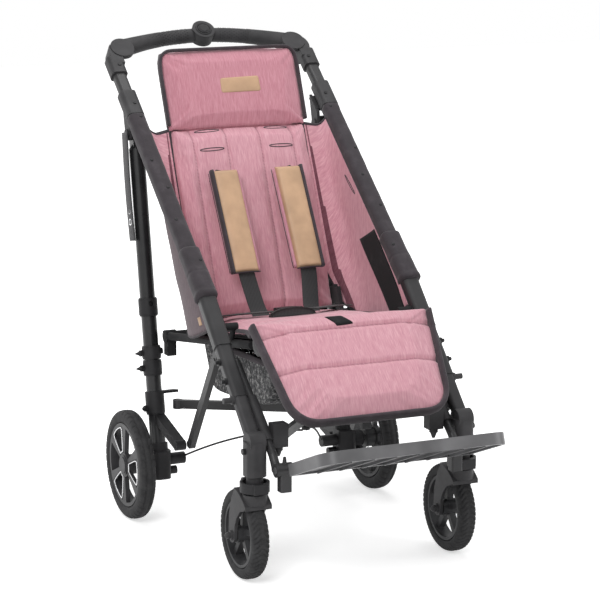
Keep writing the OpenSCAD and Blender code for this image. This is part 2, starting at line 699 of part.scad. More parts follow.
// Front brackets, centre bolt and cone knobs of the crossed bars
bracket_x = bar_front[0] + 2;
bracket_z = bar_front[2];
module brace_brackets() color("#3f3e40") placed() {
    both() {
        difference() {
            translate([-bracket_x - 16, -24, bracket_z - 24]) cube([32, 26, 48]);
            translate([-bracket_x - 13, -20, bracket_z - bar_rise - bar_t / 2]) cube([26, 60, 2 * bar_rise + bar_t]);
        }
        translate([-bracket_x, -11, bracket_z - 44]) cylinder(r1 = 3, r2 = 8, h = 14);
        translate([-bracket_x, -11, bracket_z - 32]) cylinder(r = 9, h = 8.5);
    }
    translate([0, cross_y, 236]) cylinder(r = 5, h = 72);
    translate([0, cross_y, 233]) cylinder(r = 9, h = 6);
    translate([0, cross_y, 302]) cylinder(r = 9, h = 6);
}

// Seat rails, cross tubes and the brackets that carry them on the main tubes
function seat_y(d) = hinge_y - d * cos(seat_tilt);
function seat_z(d) = hinge_z - 22 + d * sin(seat_tilt);
module rail_run() rod([-rail_x, seat_y(-rail_tail), seat_z(-rail_tail)],
    [-rail_x, seat_y(front_tie), seat_z(front_tie)], rail_r);
module seat_rails() color("#39383a") placed() {
    both() {
        rail_run();
        xrod(-tube_x + tube_w / 2 + 1, -rail_x + 4, low_y(64, -6), low_z(64, -6), 8);
        side(-rail_x - 5, -rail_x + 5) {
            translate([hinge_y, hinge_z]) circle(15);
            polygon([[hinge_y - 15, hinge_z], [seat_y(24), seat_z(24)], [seat_y(-20), seat_z(-20)],
                [hinge_y + 15, hinge_z]]);
        }
        rod([-rail_x - 4, low_y(64, -6), low_z(64, -6)], [-rail_x - 4, seat_y(226), seat_z(226)], 5.5);
        xrod(-rail_x - 8, -back_half + 8, hinge_y, hinge_z, hinge_r);
    }
    for (d = [rear_tie, front_tie]) xrod(-rail_x, rail_x, seat_y(d), seat_z(d), rail_r - 0.5);
}
// Bar between the rear ends of the seat rails
module rear_cross_bar() color("#2f2e30") placed() difference() {
    union() {
        xrod(-rail_x, rail_x, seat_y(10 - rail_tail), seat_z(10 - rail_tail), 11);
        both() xrod(-rail_x - 9, -rail_x + 16, seat_y(10 - rail_tail), seat_z(10 - rail_tail), 14);
        both() translate([-rail_x - 6, seat_y(10 - rail_tail) - 12, seat_z(10 - rail_tail) - 42]) cube([20, 24, 40]);
    }
    both() rail_run();
}
module seat_board() color("#333234") placed() both()
    translate([0, seat_y(18), seat_z(18) + rail_r]) rotate([-seat_tilt, 0, 0])
        translate([-seat_half + 14, -(seat_run - 40), 0]) cube([seat_half - 14 + eps, seat_run - 40, 6]);

// Struts from the seat rails down to the rear legs
strut_top = 178;
strut_out = -rail_x - 13;
module strut_side() difference() {
    union() {
        side(strut_out, -rail_x - 1) {
            translate([foot_y, foot_z]) circle(10);
            translate([seat_y(strut_top), seat_z(strut_top) - 4]) circle(14);
            hull_bar([foot_y, foot_z], [seat_y(strut_top), seat_z(strut_top) - 4], 19);
        }
        xrod(-leg_x + leg_r + ring_wall + side_gap, strut_out, foot_y, foot_z, 7);
        xrod(strut_out - 2, strut_out, seat_y(strut_top) + 22, seat_z(strut_top) - 44, 7);
    }
    rail_run();
}
// Straight bar outline between two points of the side plane
module hull_bar(p, q, w) {
    v = q - p;
    l = norm(v);
    translate(p) rotate(atan2(v[1], v[0])) translate([0, -w / 2]) square([l, w]);
}
module diagonal_struts() color("#4a4749") placed() both() strut_side();

// Soft seat cushion with a crown, drawn-in sides and a rolled front edge
seat_us = [for (i = [0:16]) i / 16];
seat_vs = [for (i = [0:14]) i / 14];
function seat_pt(u, v, h) = let (d = 18 + v * (seat_run - 24), x = (2 * u - 1) * seat_half * (1 - 0.03 * (1 - swell(v))))
    [x, seat_y(d) - h * sin(seat_tilt), seat_z(d) + rail_r + 6.4 + h * cos(seat_tilt)];
function seat_h(u, v) = 10 + 22 * swell(u) * (0.55 + 0.45 * swell(0.5 + 0.5 * v)) - 5 * seams(v, [0.33, 0.66], 0.035);
module seat_cushion() color("#d79aa8") placed()
    quilt(seat_us, seat_vs, function(u, v) seat_pt(u, v, seat_h(u, v)), function(u, v) seat_pt(u, v, 0));

// Calf pad: rolls over the knee edge and hangs forward, two cross seams
calf_us = [0, 0.03, 0.07, 0.13, 0.2, 0.3, 0.4, 0.5, 0.6, 0.7, 0.8, 0.87, 0.93, 0.97, 1];
calf_vs = [0, 0.03, 0.07, 0.12, 0.15, 0.18, 0.25, 0.33, 0.42, 0.48, 0.51, 0.54, 0.6, 0.7, 0.8, 0.88, 0.94, 0.98, 1];
function calf_w(v) = (calf_top_half + (calf_low_half - calf_top_half) * v)
    * (v > 0.84 ? 1 - 0.2 * pow((v - 0.84) / 0.16, 2.4) : 1);
function calf_pt(u, v, h) = let (d = v * (calf_len + 10) - 14, x = (2 * u - 1) * calf_w(v))
    [x, knee_y - d * cos(calf_slope) - h * sin(calf_slope) - 12, knee_z - 16 - d * sin(calf_slope) + h * cos(calf_slope)];
function calf_h(u, v) = 7 + 19 * swell(u) * pow(swell(v), 0.6) - 7 * seams(v, [0.15, 0.51], 0.022) * swell(u);
module calf_pad() color("#d79aa8") placed()
    quilt(calf_us, calf_vs, function(u, v) calf_pt(u, v, calf_h(u, v)), function(u, v) calf_pt(u, v, -6));

// Back panel with the recline pivots at its foot
arm_t = 8;
arm_tab = 30;
module back_board() color("#2f2e30") placed() {
    backed() translate([-back_half + 12, back_t + 1, 14]) cube([2 * back_half - 24, 7, back_len + head_len - 24]);
    both() difference() {
        union() {
            side(-back_half - 14, -back_half + 6) translate([hinge_y, hinge_z]) circle(14);
            backed() translate([-back_half - 8, -6, 3]) cube([arm_t + 1, 22, 60]);
            backed() translate([-back_half - 7, 5, 30]) cube([arm_t, back_t + 2, 40]);
            backed() translate([-back_half - 6, back_t + 1.5, 31]) cube([arm_tab, 6, 38]);
        }
        xrod(-rail_x - 30, 0, hinge_y, hinge_z, hinge_r + run_gap);
    }
}

// Back cushion with upright seams and a soft edge
back_seams = [-118, -40, 40, 118];
back_us = [0, 0.02, 0.06, 0.105, 0.135, 0.165, 0.22, 0.3, 0.35, 0.376, 0.402, 0.45, 0.5, 0.55, 0.598, 0.624, 0.65,
    0.7, 0.78, 0.835, 0.865, 0.895, 0.94, 0.98, 1];
back_vs = [for (i = [0:14]) i / 14];
function back_pt(u, v, h) = let (d = 20 + v * (back_len - 16), x = (2 * u - 1) * (back_half - 2 - 6 * (1 - swell(v))))
    [x, back_y(d, h), back_z(d, h)];
function back_h(u, v) = 8 * pow(swell(u), 0.7) - 10 + 4 * pow(swell(v), 0.5)
    - 6 * seams((2 * u - 1) * back_half, back_seams, 6);
module back_cushion() color("#d793a3") placed()
    quilt(back_us, back_vs, function(u, v) back_pt(u, v, back_h(u, v)), function(u, v) back_pt(u, v, -back_t - 0.4));

// Head pad on top of the back cushion
head_us = [for (i = [0:18]) i / 18];
head_vs = [for (i = [0:12]) i / 12];
function head_pt(u, v, h) = let (d = back_len + 6 + v * (head_len - 4),
        c = 1 - 0.07 * pow(max(0, (v - 0.86) / 0.14), 2))
    [(2 * u - 1) * (back_half - 2 + v) * c, back_y(d, h), back_z(d, h)];
function head_h(u, v) = 10 * pow(swell(u), 0.6) * pow(swell(v), 0.6) - 6;
module head_pad() color("#d58a9c") placed()
    quilt(head_us, head_vs, function(u, v) head_pt(u, v, head_h(u, v)), function(u, v) head_pt(u, v, -back_t - 0.4));

// Side wings between the main tubes and the edges of the back
wing_us = [for (i = [0:12]) (1 - cos(15 * i)) / 2];
wing_vs = [for (i = [0:14]) i / 14];
wing_top_s = joint_s - 36;
wing_low_s = 46;
wing_t = 5;
wing_foot = 38;
wing_foot_x = -back_half - 13;
wing_in_x = -back_half - 1;
wing_out_x = -tube_x + tube_w / 2 + 5.8 + wing_t;
// Line where the outer panel turns in to the back, outside the seat rails
wing_fold_x = -rail_x - 32;
wing_pull = 3;
// Way from the inner face to the outer one, slanted so that both panels keep their thickness
wing_way = [-0.8, 0.6 * sin(back_slope), -0.6 * cos(back_slope)];
// Inner edge: starts above the recline hinge and closes on the back's side
function ease(k) = k * k * (3 - 2 * k);
function wing_in(v) = let (k = ease(min(1, v / 0.2)), d = wing_foot + v * (back_len + 1 - wing_foot), n = -15)
    [wing_foot_x + (wing_in_x - wing_foot_x) * k, back_y(d, n), back_z(d, n)];
function wing_out(v) = let (s = v * (wing_top_s + wing_low_s) - wing_low_s)
    s < 0 ? [wing_out_x, low_y(-s, -4), low_z(-s, -4)] : [wing_out_x, up_y(s, -4), up_z(s, -4)];
function wing_fold(v) = let (d = v * (back_len + 9) - 12, n = 78 * exp(-v / 0.25) - 20)
    [wing_fold_x + 22 * v * v, back_y(d, n), back_z(d, n)];
function wing_pt(u, v, h) = let (p = (1 - u) * (1 - u), q = 2 * wing_pull * u * (1 - u), r = u * u)
    (p * wing_in(v) + q * wing_fold(v) + r * wing_out(v)) / (p + q + r) + h * wing_way;
module wing_side()
    quilt(wing_us, wing_vs, function(u, v) wing_pt(u, v, wing_t), function(u, v) wing_pt(u, v, 0));
module side_wing_left() color("#c98b98") placed() wing_side();
module side_wing_right() color("#c98b98") placed() right() wing_side();

// Fabric sleeves on the main tubes with a thicker flap at the bend
module cover_side() difference() {
    union() {
        upper(-tube_x) linear_extrude(joint_s - 0.4) rrect(tube_w + 5, tube_d + 5, 11);
        upper(-tube_x) translate([0, -2.5, 2]) linear_extrude(128) rrect(tube_w + 11, tube_d + 11, 13);
    }
    upper(-tube_x) translate([0, 0, -10]) linear_extrude(joint_s + 20) rrect(tube_w, tube_d, 9);
    lower(-tube_x) translate([0, 0, -6]) linear_extrude(60) rrect(tube_w + 4, tube_d + 4, 10);
}
module tube_cover_left() color("#3b363c") placed() cover_side();
module tube_cover_right() color("#3b363c") placed() right() cover_side();

// Net basket hung from the cross tubes under the seat
bk_half = 150;
bk_y0 = 60;
bk_y1 = 440;
bk_z0 = 330;
bk_front_z = 418;
bk_rear_z = seat_z(rear_tie) - rail_r - 1;
bk_wall = 3;
tab_x = 110;
tab_w = 24;
module basket_outline(g) polygon([[bk_y0 + g, bk_front_z], [bk_y0 + 40 + g, bk_z0 + g], [bk_y1 - 50 - g, bk_z0 - 30 + g],
    [bk_y1 - g, bk_rear_z - 4], [seat_y(rear_tie), bk_rear_z]]);
module basket() color("#8d8c8e") placed() {
    difference() {
        side(-bk_half, bk_half) basket_outline(0);
        side(-bk_half + bk_wall, bk_half - bk_wall) {
            basket_outline(bk_wall);
            translate([bk_y0 + bk_wall, 396]) square([bk_y1 - bk_y0 - 2 * bk_wall, 40]);
        }
    }
    // Tabs up to the front cross tube
    both() side(-tab_x - tab_w / 2, -tab_x + tab_w / 2)
        polygon([[bk_y0 + 1, bk_front_z - 10], [bk_y0 + 5, bk_front_z - 10], [seat_y(front_tie) + 2, seat_z(front_tie) - rail_r],
            [seat_y(front_tie) - 2, seat_z(front_tie) - rail_r]]);
}

// Lap belt lying on the seat cushion's crown
belt_lift = rail_r + 6.4 + 32 + 0.3;
belt_h = 30;
module lap_belt() color("#232224") placed()
    translate([0, seat_y(0), seat_z(0)]) rotate([-seat_tilt, 0, 0]) translate([0, 0, belt_lift]) {
        for (sx = [-1, 1]) bar([sx * 150, -40, belt_h / 2 + 1], [sx * 24, -152, belt_h / 2 + 1], 3, belt_h);
        translate([-28, -172, 0]) cube([56, 42, 16]);
    }

// Shoulder straps and pads of the harness
// Strap route as distance along the back and offset in front of it
strap_path = [[-84, 354, 2], [-76, 335, 38], [-73, 92, 73], [-62, 14, 77]];
function strap_at(i) = [strap_path[i][0], back_y(strap_path[i][1], strap_path[i][2]),
    back_z(strap_path[i][1], strap_path[i][2])];
module harness_straps() color("#232224") placed() both()
    for (i = [0:2]) rod_strap(strap_at(i), strap_at(i + 1), 37);
module rod_strap(p, q, w) {
    v = q - p;
    l = norm(v);
    translate(p) rotate([0, 0, atan2(v[1], v[0])]) rotate([0, acos(v[2] / l), 0])
        rotate([0, 0, -atan2(v[1], v[0])]) translate([-w / 2, -1.5, -1]) cube([w, 3, l + 2]);
}
pad_us = [for (i = [0:8]) i / 8];
pad_vs = [for (i = [0:12]) i / 12];
function pad_pt(u, v, h) = let (d = 97 + v * 234, n = 75 - v * 34)
    [-74 + (2 * u - 1) * 31, back_y(d, n + h), back_z(d, n + h)];
function pad_h(u, v) = 3 + 11 * pow(swell(u), 0.8) * pow(swell(v), 0.3);
module shoulder_pads() color("#c8a878") placed() both() difference() {
    quilt(pad_us, pad_vs, function(u, v) pad_pt(u, v, pad_h(u, v)), function(u, v) pad_pt(u, v, -7));
    rod_strap(strap_at(1), strap_at(2), 37);
}

// Guide that the footrest hanger slides in, pinned to the main tube
module along_hanger(x) translate([x, hang_y, hang_z]) rotate([tube_slope + 90, 0, 0]) children();
module guide_side() {
    difference() {
        union() {
            along_hanger(-hanger_x) translate([0, 0, guide_s0]) cylinder(r = hanger_r + guide_wall, h = guide_len);
            along_hanger(-hanger_x) translate([-22, -7, guide_s0 + 18]) cube([22, 14, 62]);
            xrod(-tube_x + 2, -hanger_x, hang_y - (guide_s0 + 50) * cos(tube_slope),
                hang_z - (guide_s0 + 50) * sin(tube_slope), 6);
        }
        along_hanger(-hanger_x) translate([0, 0, -10]) cylinder(r = hanger_r + run_gap, h = 400);
        lower(-tube_x) linear_extrude(bare_s) rrect(tube_w, tube_d, 9);
        lower(-tube_x) linear_extrude(knee_s + 6) rrect(inner_w, inner_d, 8);
        translate([-tube_x, swivel_y, leg_foot_z]) linear_extrude(knee_h - leg_foot_z + 4) rrect(42, 42, 14);
        translate([-tube_x, swivel_y, knee_h + 4]) rotate([0, 90, 0]) cylinder(r = 20, h = 34, center = true);
    }
}
module footrest_guide_left() color("#4a494b") placed() guide_side();
module footrest_guide_right() color("#4a494b") placed() right() guide_side();

// Footrest hangers with the clamps that hold the footplate's pivot
hang_bend = [[hang_end_y, hang_end_z], [hang_end_y - 12, hang_end_z - 16], [plate_y + 18, plate_z - 3], [plate_y, plate_z]];
module hanger_side() difference() {
    union() {
        along_hanger(-hanger_x) cylinder(r = hanger_r, h = hanger_len);
        translate([-hanger_x, hang_y, hang_z]) sphere(r = hanger_r);
        for (i = [0:2]) {
            translate([-hanger_x, hang_bend[i][0], hang_bend[i][1]]) sphere(r = hanger_r + 0.4 * min(i, 1));
            rod([-hanger_x, hang_bend[i][0], hang_bend[i][1]],
                [-hanger_x, hang_bend[i + 1][0], hang_bend[i + 1][1]], hanger_r);
        }
        xrod(-hanger_x - 10, -hanger_x + 25, plate_y, plate_z, plate_pin_r + 7);
        translate([-hanger_x + 10, plate_y, plate_z - 44]) linear_extrude(36) rrect(24, 22, 4);
        translate([-hanger_x + 10, plate_y, plate_z + 10]) cylinder(r1 = 5, r2 = 3, h = 16);
    }
    xrod(-hanger_x - 40, -hanger_x + 60, plate_y, plate_z, plate_pin_r + run_gap);
}
module footrest_hangers() color("#424143") placed() both() hanger_side();

// Footplate: bent rim, ribbed plate and the pivot pins
module footed() translate([0, plate_y, plate_z]) rotate([-plate_tilt, 0, 0]) children();
module rim_outline(g) {
    depth = plate_len - plate_back;
    translate([0, -plate_len + depth / 2]) rrect(2 * (plate_half - g), depth - 2 * g, plate_r - g);
    translate([g - plate_half, -plate_back - plate_r]) square([2 * (plate_half - g), plate_r - g]);
}
module footplate() color("#59585b") placed() {
    footed() {
        difference() {
            translate([0, 0, rim_low]) linear_extrude(rim_h) rim_outline(0);
            translate([0, 0, rim_low - 1]) linear_extrude(rim_h + 2) rim_outline(9);
        }
        translate([0, 0, rim_low + 4]) linear_extrude(6) rim_outline(8);
        for (i = [-3:3]) translate([i * 48 - 2, -plate_len + 8, rim_low - 2]) cube([4, plate_len - plate_back - 16, 8]);
        both() translate([-hanger_x + 26.5, -plate_back - 6, -10]) cube([14, plate_back + 14, 16]);
    }
    both() xrod(-hanger_x - 11, -hanger_x + 40, plate_y, plate_z, plate_pin_r);
    both() xrod(-hanger_x + 25 + side_gap, -hanger_x + 40, plate_y, plate_z, plate_pin_r + 5);
}

// Accessory pins on the outer faces of the lower tubes
acc_s = 240;
module accessory_pins() color("#3f3e40") placed() both() difference() {
    union() {
        xrod(-tube_x - tube_w / 2 - acc_len, -tube_x - inner_w / 2 + 2, low_y(acc_s, 0), low_z(acc_s, 0), acc_r);
        xrod(-tube_x - tube_w / 2 - 3, -tube_x - inner_w / 2 + 2, low_y(acc_s, 0), low_z(acc_s, 0), acc_r + 3);
    }
    lower(-tube_x) linear_extrude(knee_s) rrect(inner_w, inner_d, 8);
    lower(-tube_x) linear_extrude(bare_s) rrect(tube_w, tube_d, 9);
}
// Screw heads on tubes, joints and elbows
module frame_screws() color("#1f1e20") placed() both() {
    upper(-tube_x) for (s = [joint_s + 30, elbow_s + 22])
        translate([4, -tube_d / 2 - (s > elbow_s ? 2.5 : 3), s]) rotate([90, 0, 0]) cylinder(r = 4, h = 1.5);
    lower(-tube_x) for (s = [150, 196])
        translate([-tube_w / 2, 0, s]) rotate([0, -90, 0]) {
            cylinder(r = 7, h = 5);
            translate([0, 0, 5]) cylinder(r = 4, h = 6);
        }
    translate([-tube_x - 21, swivel_y, knee_h - 14]) rotate([0, -90, 0]) cylinder(r = 6, h = 6);
}

main_tube_left();
main_tube_right();
handle_elbow_left();
handle_elbow_right();
handle_grip_left();
handle_grip_right();
handle_button();
leg_joint_left();
leg_joint_right();
front_leg_left();
front_leg_right();
footrest_guide_left();
footrest_guide_right();
accessory_pins();
frame_screws();
brace_bar_a();
brace_bar_b();
brace_brackets();
seat_rails();
seat_board();
diagonal_struts();
seat_cushion();
calf_pad();
side_wing_left();
side_wing_right();
tube_cover_left();
tube_cover_right();
basket();
lap_belt();
rear_leg_left();
rear_leg_right();
leg_clamps();
clamp_screws();
rear_cross_bar();
axle_housing_left();
axle_housing_right();
rear_axles();
brake_cable();
hand_strap();
brake_pedal_left();
brake_pedal_right();
caster_fork_left();
caster_fork_right();
caster_lock_left();
caster_lock_right();
front_tyre_left();
front_tyre_right();
front_rim_left();
front_rim_right();
rear_tyre_left();
rear_tyre_right();
rear_rim_left();
rear_rim_right();
back_board();
back_cushion();
head_pad();
harness_straps();
shoulder_pads();
footrest_hangers();
footplate();
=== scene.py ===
import json
import math
import bpy
import bmesh
from mathutils import Matrix, Vector, noise


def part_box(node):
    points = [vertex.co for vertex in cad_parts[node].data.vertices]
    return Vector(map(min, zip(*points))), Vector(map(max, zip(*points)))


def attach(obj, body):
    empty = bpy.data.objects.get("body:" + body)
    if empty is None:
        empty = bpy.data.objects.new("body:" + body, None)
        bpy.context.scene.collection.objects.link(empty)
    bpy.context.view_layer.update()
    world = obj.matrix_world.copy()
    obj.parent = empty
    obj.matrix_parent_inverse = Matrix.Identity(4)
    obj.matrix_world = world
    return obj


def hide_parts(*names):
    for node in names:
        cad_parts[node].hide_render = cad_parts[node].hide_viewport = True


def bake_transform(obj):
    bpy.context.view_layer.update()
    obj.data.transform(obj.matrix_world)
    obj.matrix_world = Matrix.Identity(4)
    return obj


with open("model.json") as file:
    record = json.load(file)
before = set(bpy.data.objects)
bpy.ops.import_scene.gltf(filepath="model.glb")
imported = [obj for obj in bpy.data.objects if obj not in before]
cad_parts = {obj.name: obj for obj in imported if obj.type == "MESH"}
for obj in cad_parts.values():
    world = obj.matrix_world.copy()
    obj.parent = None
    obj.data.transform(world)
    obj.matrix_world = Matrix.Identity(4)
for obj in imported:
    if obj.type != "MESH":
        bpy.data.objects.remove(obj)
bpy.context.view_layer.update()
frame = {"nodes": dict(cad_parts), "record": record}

# Places. Lengths are in millimetres from the front datum, and turn into metres at the end.

MM = 0.001
WHEELBASE = 517
TUBE_SLOPE = 39.2
LOWER_SLOPE = 45
BACK_SLOPE = 67.5
SEAT_TILT = 9.13
CALF_SLOPE = 47
TUBE_X = 232
BEND = (217, 534)
HINGE = (414, 432)
SEAT_FOOT = (414, 410)
CALF_TOP = (66, 494)
LEG_X = 224
LEG_LEAN = 10.02
AXLE_Z = 119
WHEEL_X = 291
SIDES = ((-1, "left"), (1, "right"))

tyre_low, tyre_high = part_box("rear_tyre_left")
Y_MID = WHEELBASE - (tyre_low[1] + tyre_high[1]) / 2 / MM


def pt(x, y, z):
    """A point of the side plane's own numbers, in the row frame."""
    return Vector((x, y - Y_MID, z)) * MM


def slanted(origin, slope, forward):
    """A function of x, distance along a slope and height over it.
    forward holds the signs of the run rearwards, of the height's lean and of the climb."""
    c = math.cos(math.radians(slope))
    s = math.sin(math.radians(slope))

    def place(x, d, n=0.0):
        y = origin[0] + forward[0] * d * c - forward[1] * n * s
        return pt(x, y, origin[1] + forward[2] * d * s + n * c)

    return place


upper = slanted(BEND, TUBE_SLOPE, (1, 1, 1))
lower = slanted(BEND, LOWER_SLOPE, (-1, 1, -1))
backed = slanted(HINGE, BACK_SLOPE, (1, 1, 1))
seated = slanted(SEAT_FOOT, SEAT_TILT, (-1, -1, 1))
calved = slanted(CALF_TOP, CALF_SLOPE, (-1, 1, -1))


def legged(x, h, out=0.0):
    """A point by the rear leg: x, height along the leg over the axle, and distance behind its axis."""
    c, s = math.cos(math.radians(LEG_LEAN)), math.sin(math.radians(LEG_LEAN))
    return pt(x, WHEELBASE + h * s + out * c, AXLE_Z + h * c - out * s)


def normal_of(place):
    """The direction in which a place function's height grows."""
    return (place(0, 0, 1) - place(0, 0, 0)).normalized()


def swell(t, power=4):
    """0 at the two edges and 1 in the middle."""
    return max(0.0, 1 - abs(2 * t - 1) ** power) ** 0.5


def dip(x, centre, width):
    return math.exp(-((x - centre) / width) ** 2)


def lerp(a, b, t):
    return a + (b - a) * t


def circle(n):
    """Angles of n even steps round a circle."""
    return [2 * math.pi * k / n for k in range(n)]


# Materials


class Mat:
    """A procedural material built on one Principled shader, on the object's own coordinates."""

    def __init__(self, name, color, rough, metallic=0.0, sheen=0.0, coat=0.0, specular=0.5):
        self.m = bpy.data.materials.new(name)
        self.m.use_nodes = True
        self.tree = self.m.node_tree
        self.shader = self.tree.nodes["Principled BSDF"]
        self.put("Base Color", (*color, 1))
        self.put("Roughness", rough)
        self.put("Metallic", metallic)
        self.put("Sheen Weight", sheen)
        self.put("Coat Weight", coat)
        self.put("Specular IOR Level", specular)
        self.m.diffuse_color = (*color, 1)

    def put(self, socket, value):
        self.shader.inputs[socket].default_value = value

    def node(self, kind, **settings):
        n = self.tree.nodes.new(kind)
        for key, value in settings.items():
            if key in n.inputs:
                n.inputs[key].default_value = value
            else:
                setattr(n, key, value)
        return n

    def link(self, a, b):
        self.tree.links.new(a, b)

    def space(self, scale, turn=(0, 0, 0)):
        """Object coordinates, turned and scaled per metre."""
        at = self.node("ShaderNodeTexCoord")
        m = self.node("ShaderNodeMapping", Scale=scale, Rotation=turn)
        self.link(at.outputs["Object"], m.inputs["Vector"])
        return m.outputs["Vector"]

    def noise(self, size, detail=2.0, rough=0.5, turn=(0, 0, 0)):
        """Noise with size cells per metre, one number or one for each axis."""
        scale = size if isinstance(size, tuple) else (size, size, size)
        n = self.node("ShaderNodeTexNoise", Scale=1.0, Detail=detail, Roughness=rough)
        self.link(self.space(scale, turn), n.inputs["Vector"])
        return n.outputs["Fac"]

    def wave(self, vector, scale, distortion=0.0, axis="X"):
        n = self.node("ShaderNodeTexWave", Scale=scale, Distortion=distortion, bands_direction=axis)
        self.link(vector, n.inputs["Vector"])
        return n.outputs["Fac"]

    def cells(self, vector, scale, feature="F1"):
        n = self.node("ShaderNodeTexVoronoi", Scale=scale, feature=feature)
        self.link(vector, n.inputs["Vector"])
        return n.outputs["Distance"]

    def ramp(self, fac, *stops):
        r = self.node("ShaderNodeValToRGB")
        e = r.color_ramp.elements
        while len(e) < len(stops):
            e.new(0.5)
        for k, (place, color) in zip(e, stops):
            k.position = place
            k.color = (*color, 1)
        self.link(fac, r.inputs["Fac"])
        return r.outputs["Color"]

    def feed(self, n, *values):
        """Fills a node's inputs, given as (place, value). A value is a socket or fixed."""
        for place, value in values:
            if isinstance(value, bpy.types.NodeSocket):
                self.link(value, n.inputs[place])
            else:
                n.inputs[place].default_value = value

    def mix(self, fac, a, b):
        """Colour a, with colour b over it by fac."""
        n = self.node("ShaderNodeMix", data_type="RGBA", blend_type="MIX")
        self.feed(n, (0, fac), (6, a), (7, b))
        return n.outputs[2]

    def math(self, kind, a, b=0.0):
        n = self.node("ShaderNodeMath", operation=kind)
        self.feed(n, (0, a), (1, b))
        return n.outputs[0]

    def spread(self, fac, low, high, start=0.0, end=1.0):
        """fac from start to end turned to a value between low and high."""
        n = self.node("ShaderNodeMapRange")
        self.feed(n, ("Value", fac), ("From Min", start), ("From Max", end))
        self.feed(n, ("To Min", low), ("To Max", high))
        return n.outputs["Result"]

    def color(self, socket):
        self.link(socket, self.shader.inputs["Base Color"])

    def rough(self, socket):
        self.link(socket, self.shader.inputs["Roughness"])

    def bump(self, height, strength, depth, soft=None):
        b = self.node("ShaderNodeBump", Strength=strength, Distance=depth)
        self.link(height, b.inputs["Height"])
        if soft is not None:
            self.link(soft, b.inputs["Normal"])
        self.link(b.outputs["Normal"], self.shader.inputs["Normal"])

    def rounded(self, radius):
        """Normals softened over an edge, and a mask that is 1 along the edge."""
        soft = self.node("ShaderNodeBevel", samples=4, Radius=radius)
        flat = self.node("ShaderNodeNewGeometry")
        dot = self.node("ShaderNodeVectorMath", operation="DOT_PRODUCT")
        self.link(soft.outputs["Normal"], dot.inputs[0])
        self.link(flat.outputs["Normal"], dot.inputs[1])
        edge = self.math("MULTIPLY", self.math("SUBTRACT", 1.0, dot.outputs["Value"]), 3.0)
        return soft.outputs["Normal"], edge


def tone(color, gain, lift=0.0):
    """A colour made brighter or darker."""
    return [min(1, k * gain + lift) for k in color]


def melange(name, scale, dark, base, light, turn=(0, 0, 0)):
    """Heathered upholstery: light and dark threads that run one way, a fine weave, and seams darkened by
    stitch thread and by painted shade in their creases.
    """
    m = Mat(name, base, 0.92, sheen=0.25, specular=0.25)
    m.put("Sheen Roughness", 0.5)
    threads = m.noise(scale, 3.0, 0.6, turn)
    broad = m.noise(tuple(k * 0.3 for k in scale), 2.0, 0.5, turn)
    patches = m.noise(9, 2.0)
    body = m.ramp(threads, (0.30, dark), (0.5, base), (0.70, light))
    body = m.mix(m.spread(broad, 0.0, 0.55), body, (*light, 1))
    body = m.mix(m.spread(patches, 0.0, 0.22), body, (*dark, 1))
    # Along the seam mask the colour turns dark: stitch thread, and painted shade in the seam's crease.
    seam = m.node("ShaderNodeAttribute", attribute_name="seam")
    stitched = m.wave(m.space((1, 1, 1)), 62.0, 0.0, "DIAGONAL")
    seam_stitch_and_shade = m.math("MULTIPLY", seam.outputs["Fac"], m.spread(stitched, 0.35, 0.6))
    m.color(m.mix(seam_stitch_and_shade, body, (dark[0] * 0.3, dark[1] * 0.25, dark[2] * 0.28, 1)))
    weave = m.noise(1500, 1.0)
    m.bump(m.mix(0.5, threads, weave), 0.35, 0.0006)
    return m.m


def plain_weave(name, color, scale=230.0, sheen=0.15, rough=0.85):
    """Tight dark cloth: two crossed sets of threads and a faint dusty variation."""
    m = Mat(name, color, rough, sheen=sheen, specular=0.2)
    here = m.space((1, 1, 1))
    threads = m.mix(0.5, m.wave(here, scale, 1.5, "X"), m.wave(here, scale, 1.5, "Z"))
    dust = m.noise(35, 4.0, 0.6)
    grain = m.noise(420, 2.0)
    pale = tone(color, 1.5, 0.012)
    deep = tone(color, 0.65)
    body = m.ramp(dust, (0.3, deep), (0.55, color), (0.8, pale))
    m.color(m.mix(m.spread(grain, 0.0, 0.4), body, (*pale, 1)))
    m.rough(m.spread(dust, rough - 0.08, rough + 0.08))
    m.bump(m.mix(0.4, threads, grain), 0.3, 0.0005)
    return m.m


def ribbed_webbing(name, color, axis):
    """Nylon webbing with ribs along it, and a highlight painted on their crests."""
    m = Mat(name, color, 0.7, sheen=0.1, specular=0.35)
    ribs = m.wave(m.space((1, 1, 1)), 95.0, 0.3, axis)
    fuzz = m.noise(600, 2.0)
    # Painted highlight: the rib crests take a lighter colour.
    crest_highlight = tone(color, 1.7, 0.006)
    m.color(m.mix(m.spread(fuzz, 0.0, 0.35), m.ramp(ribs, (0.2, color), (0.8, crest_highlight)), (*color, 1)))
    m.bump(m.mix(0.35, ribs, fuzz), 0.5, 0.0007)
    return m.m


def moulded(name, color, rough, grain=900.0, wear=0.35, edge=0.0012):
    """Moulded plastic: a fine spark grain, faint flow marks and edges rubbed paler."""
    m = Mat(name, color, rough, specular=0.2)
    soft, rim = m.rounded(edge)
    cloud = m.noise(22, 3.0)
    spark = m.noise(grain, 2.0)
    deep = tone(color, 0.8)
    pale = tone(color, 1.25, 0.004)
    body = m.ramp(cloud, (0.3, deep), (0.7, pale))
    rubbed = tone(color, 1.9, 0.02)
    m.color(m.mix(m.math("MULTIPLY", rim, wear), body, (*rubbed, 1)))
    m.rough(m.spread(spark, rough - 0.08, rough + 0.1))
    m.bump(spark, 0.12, 0.0004, soft)
    return m.m


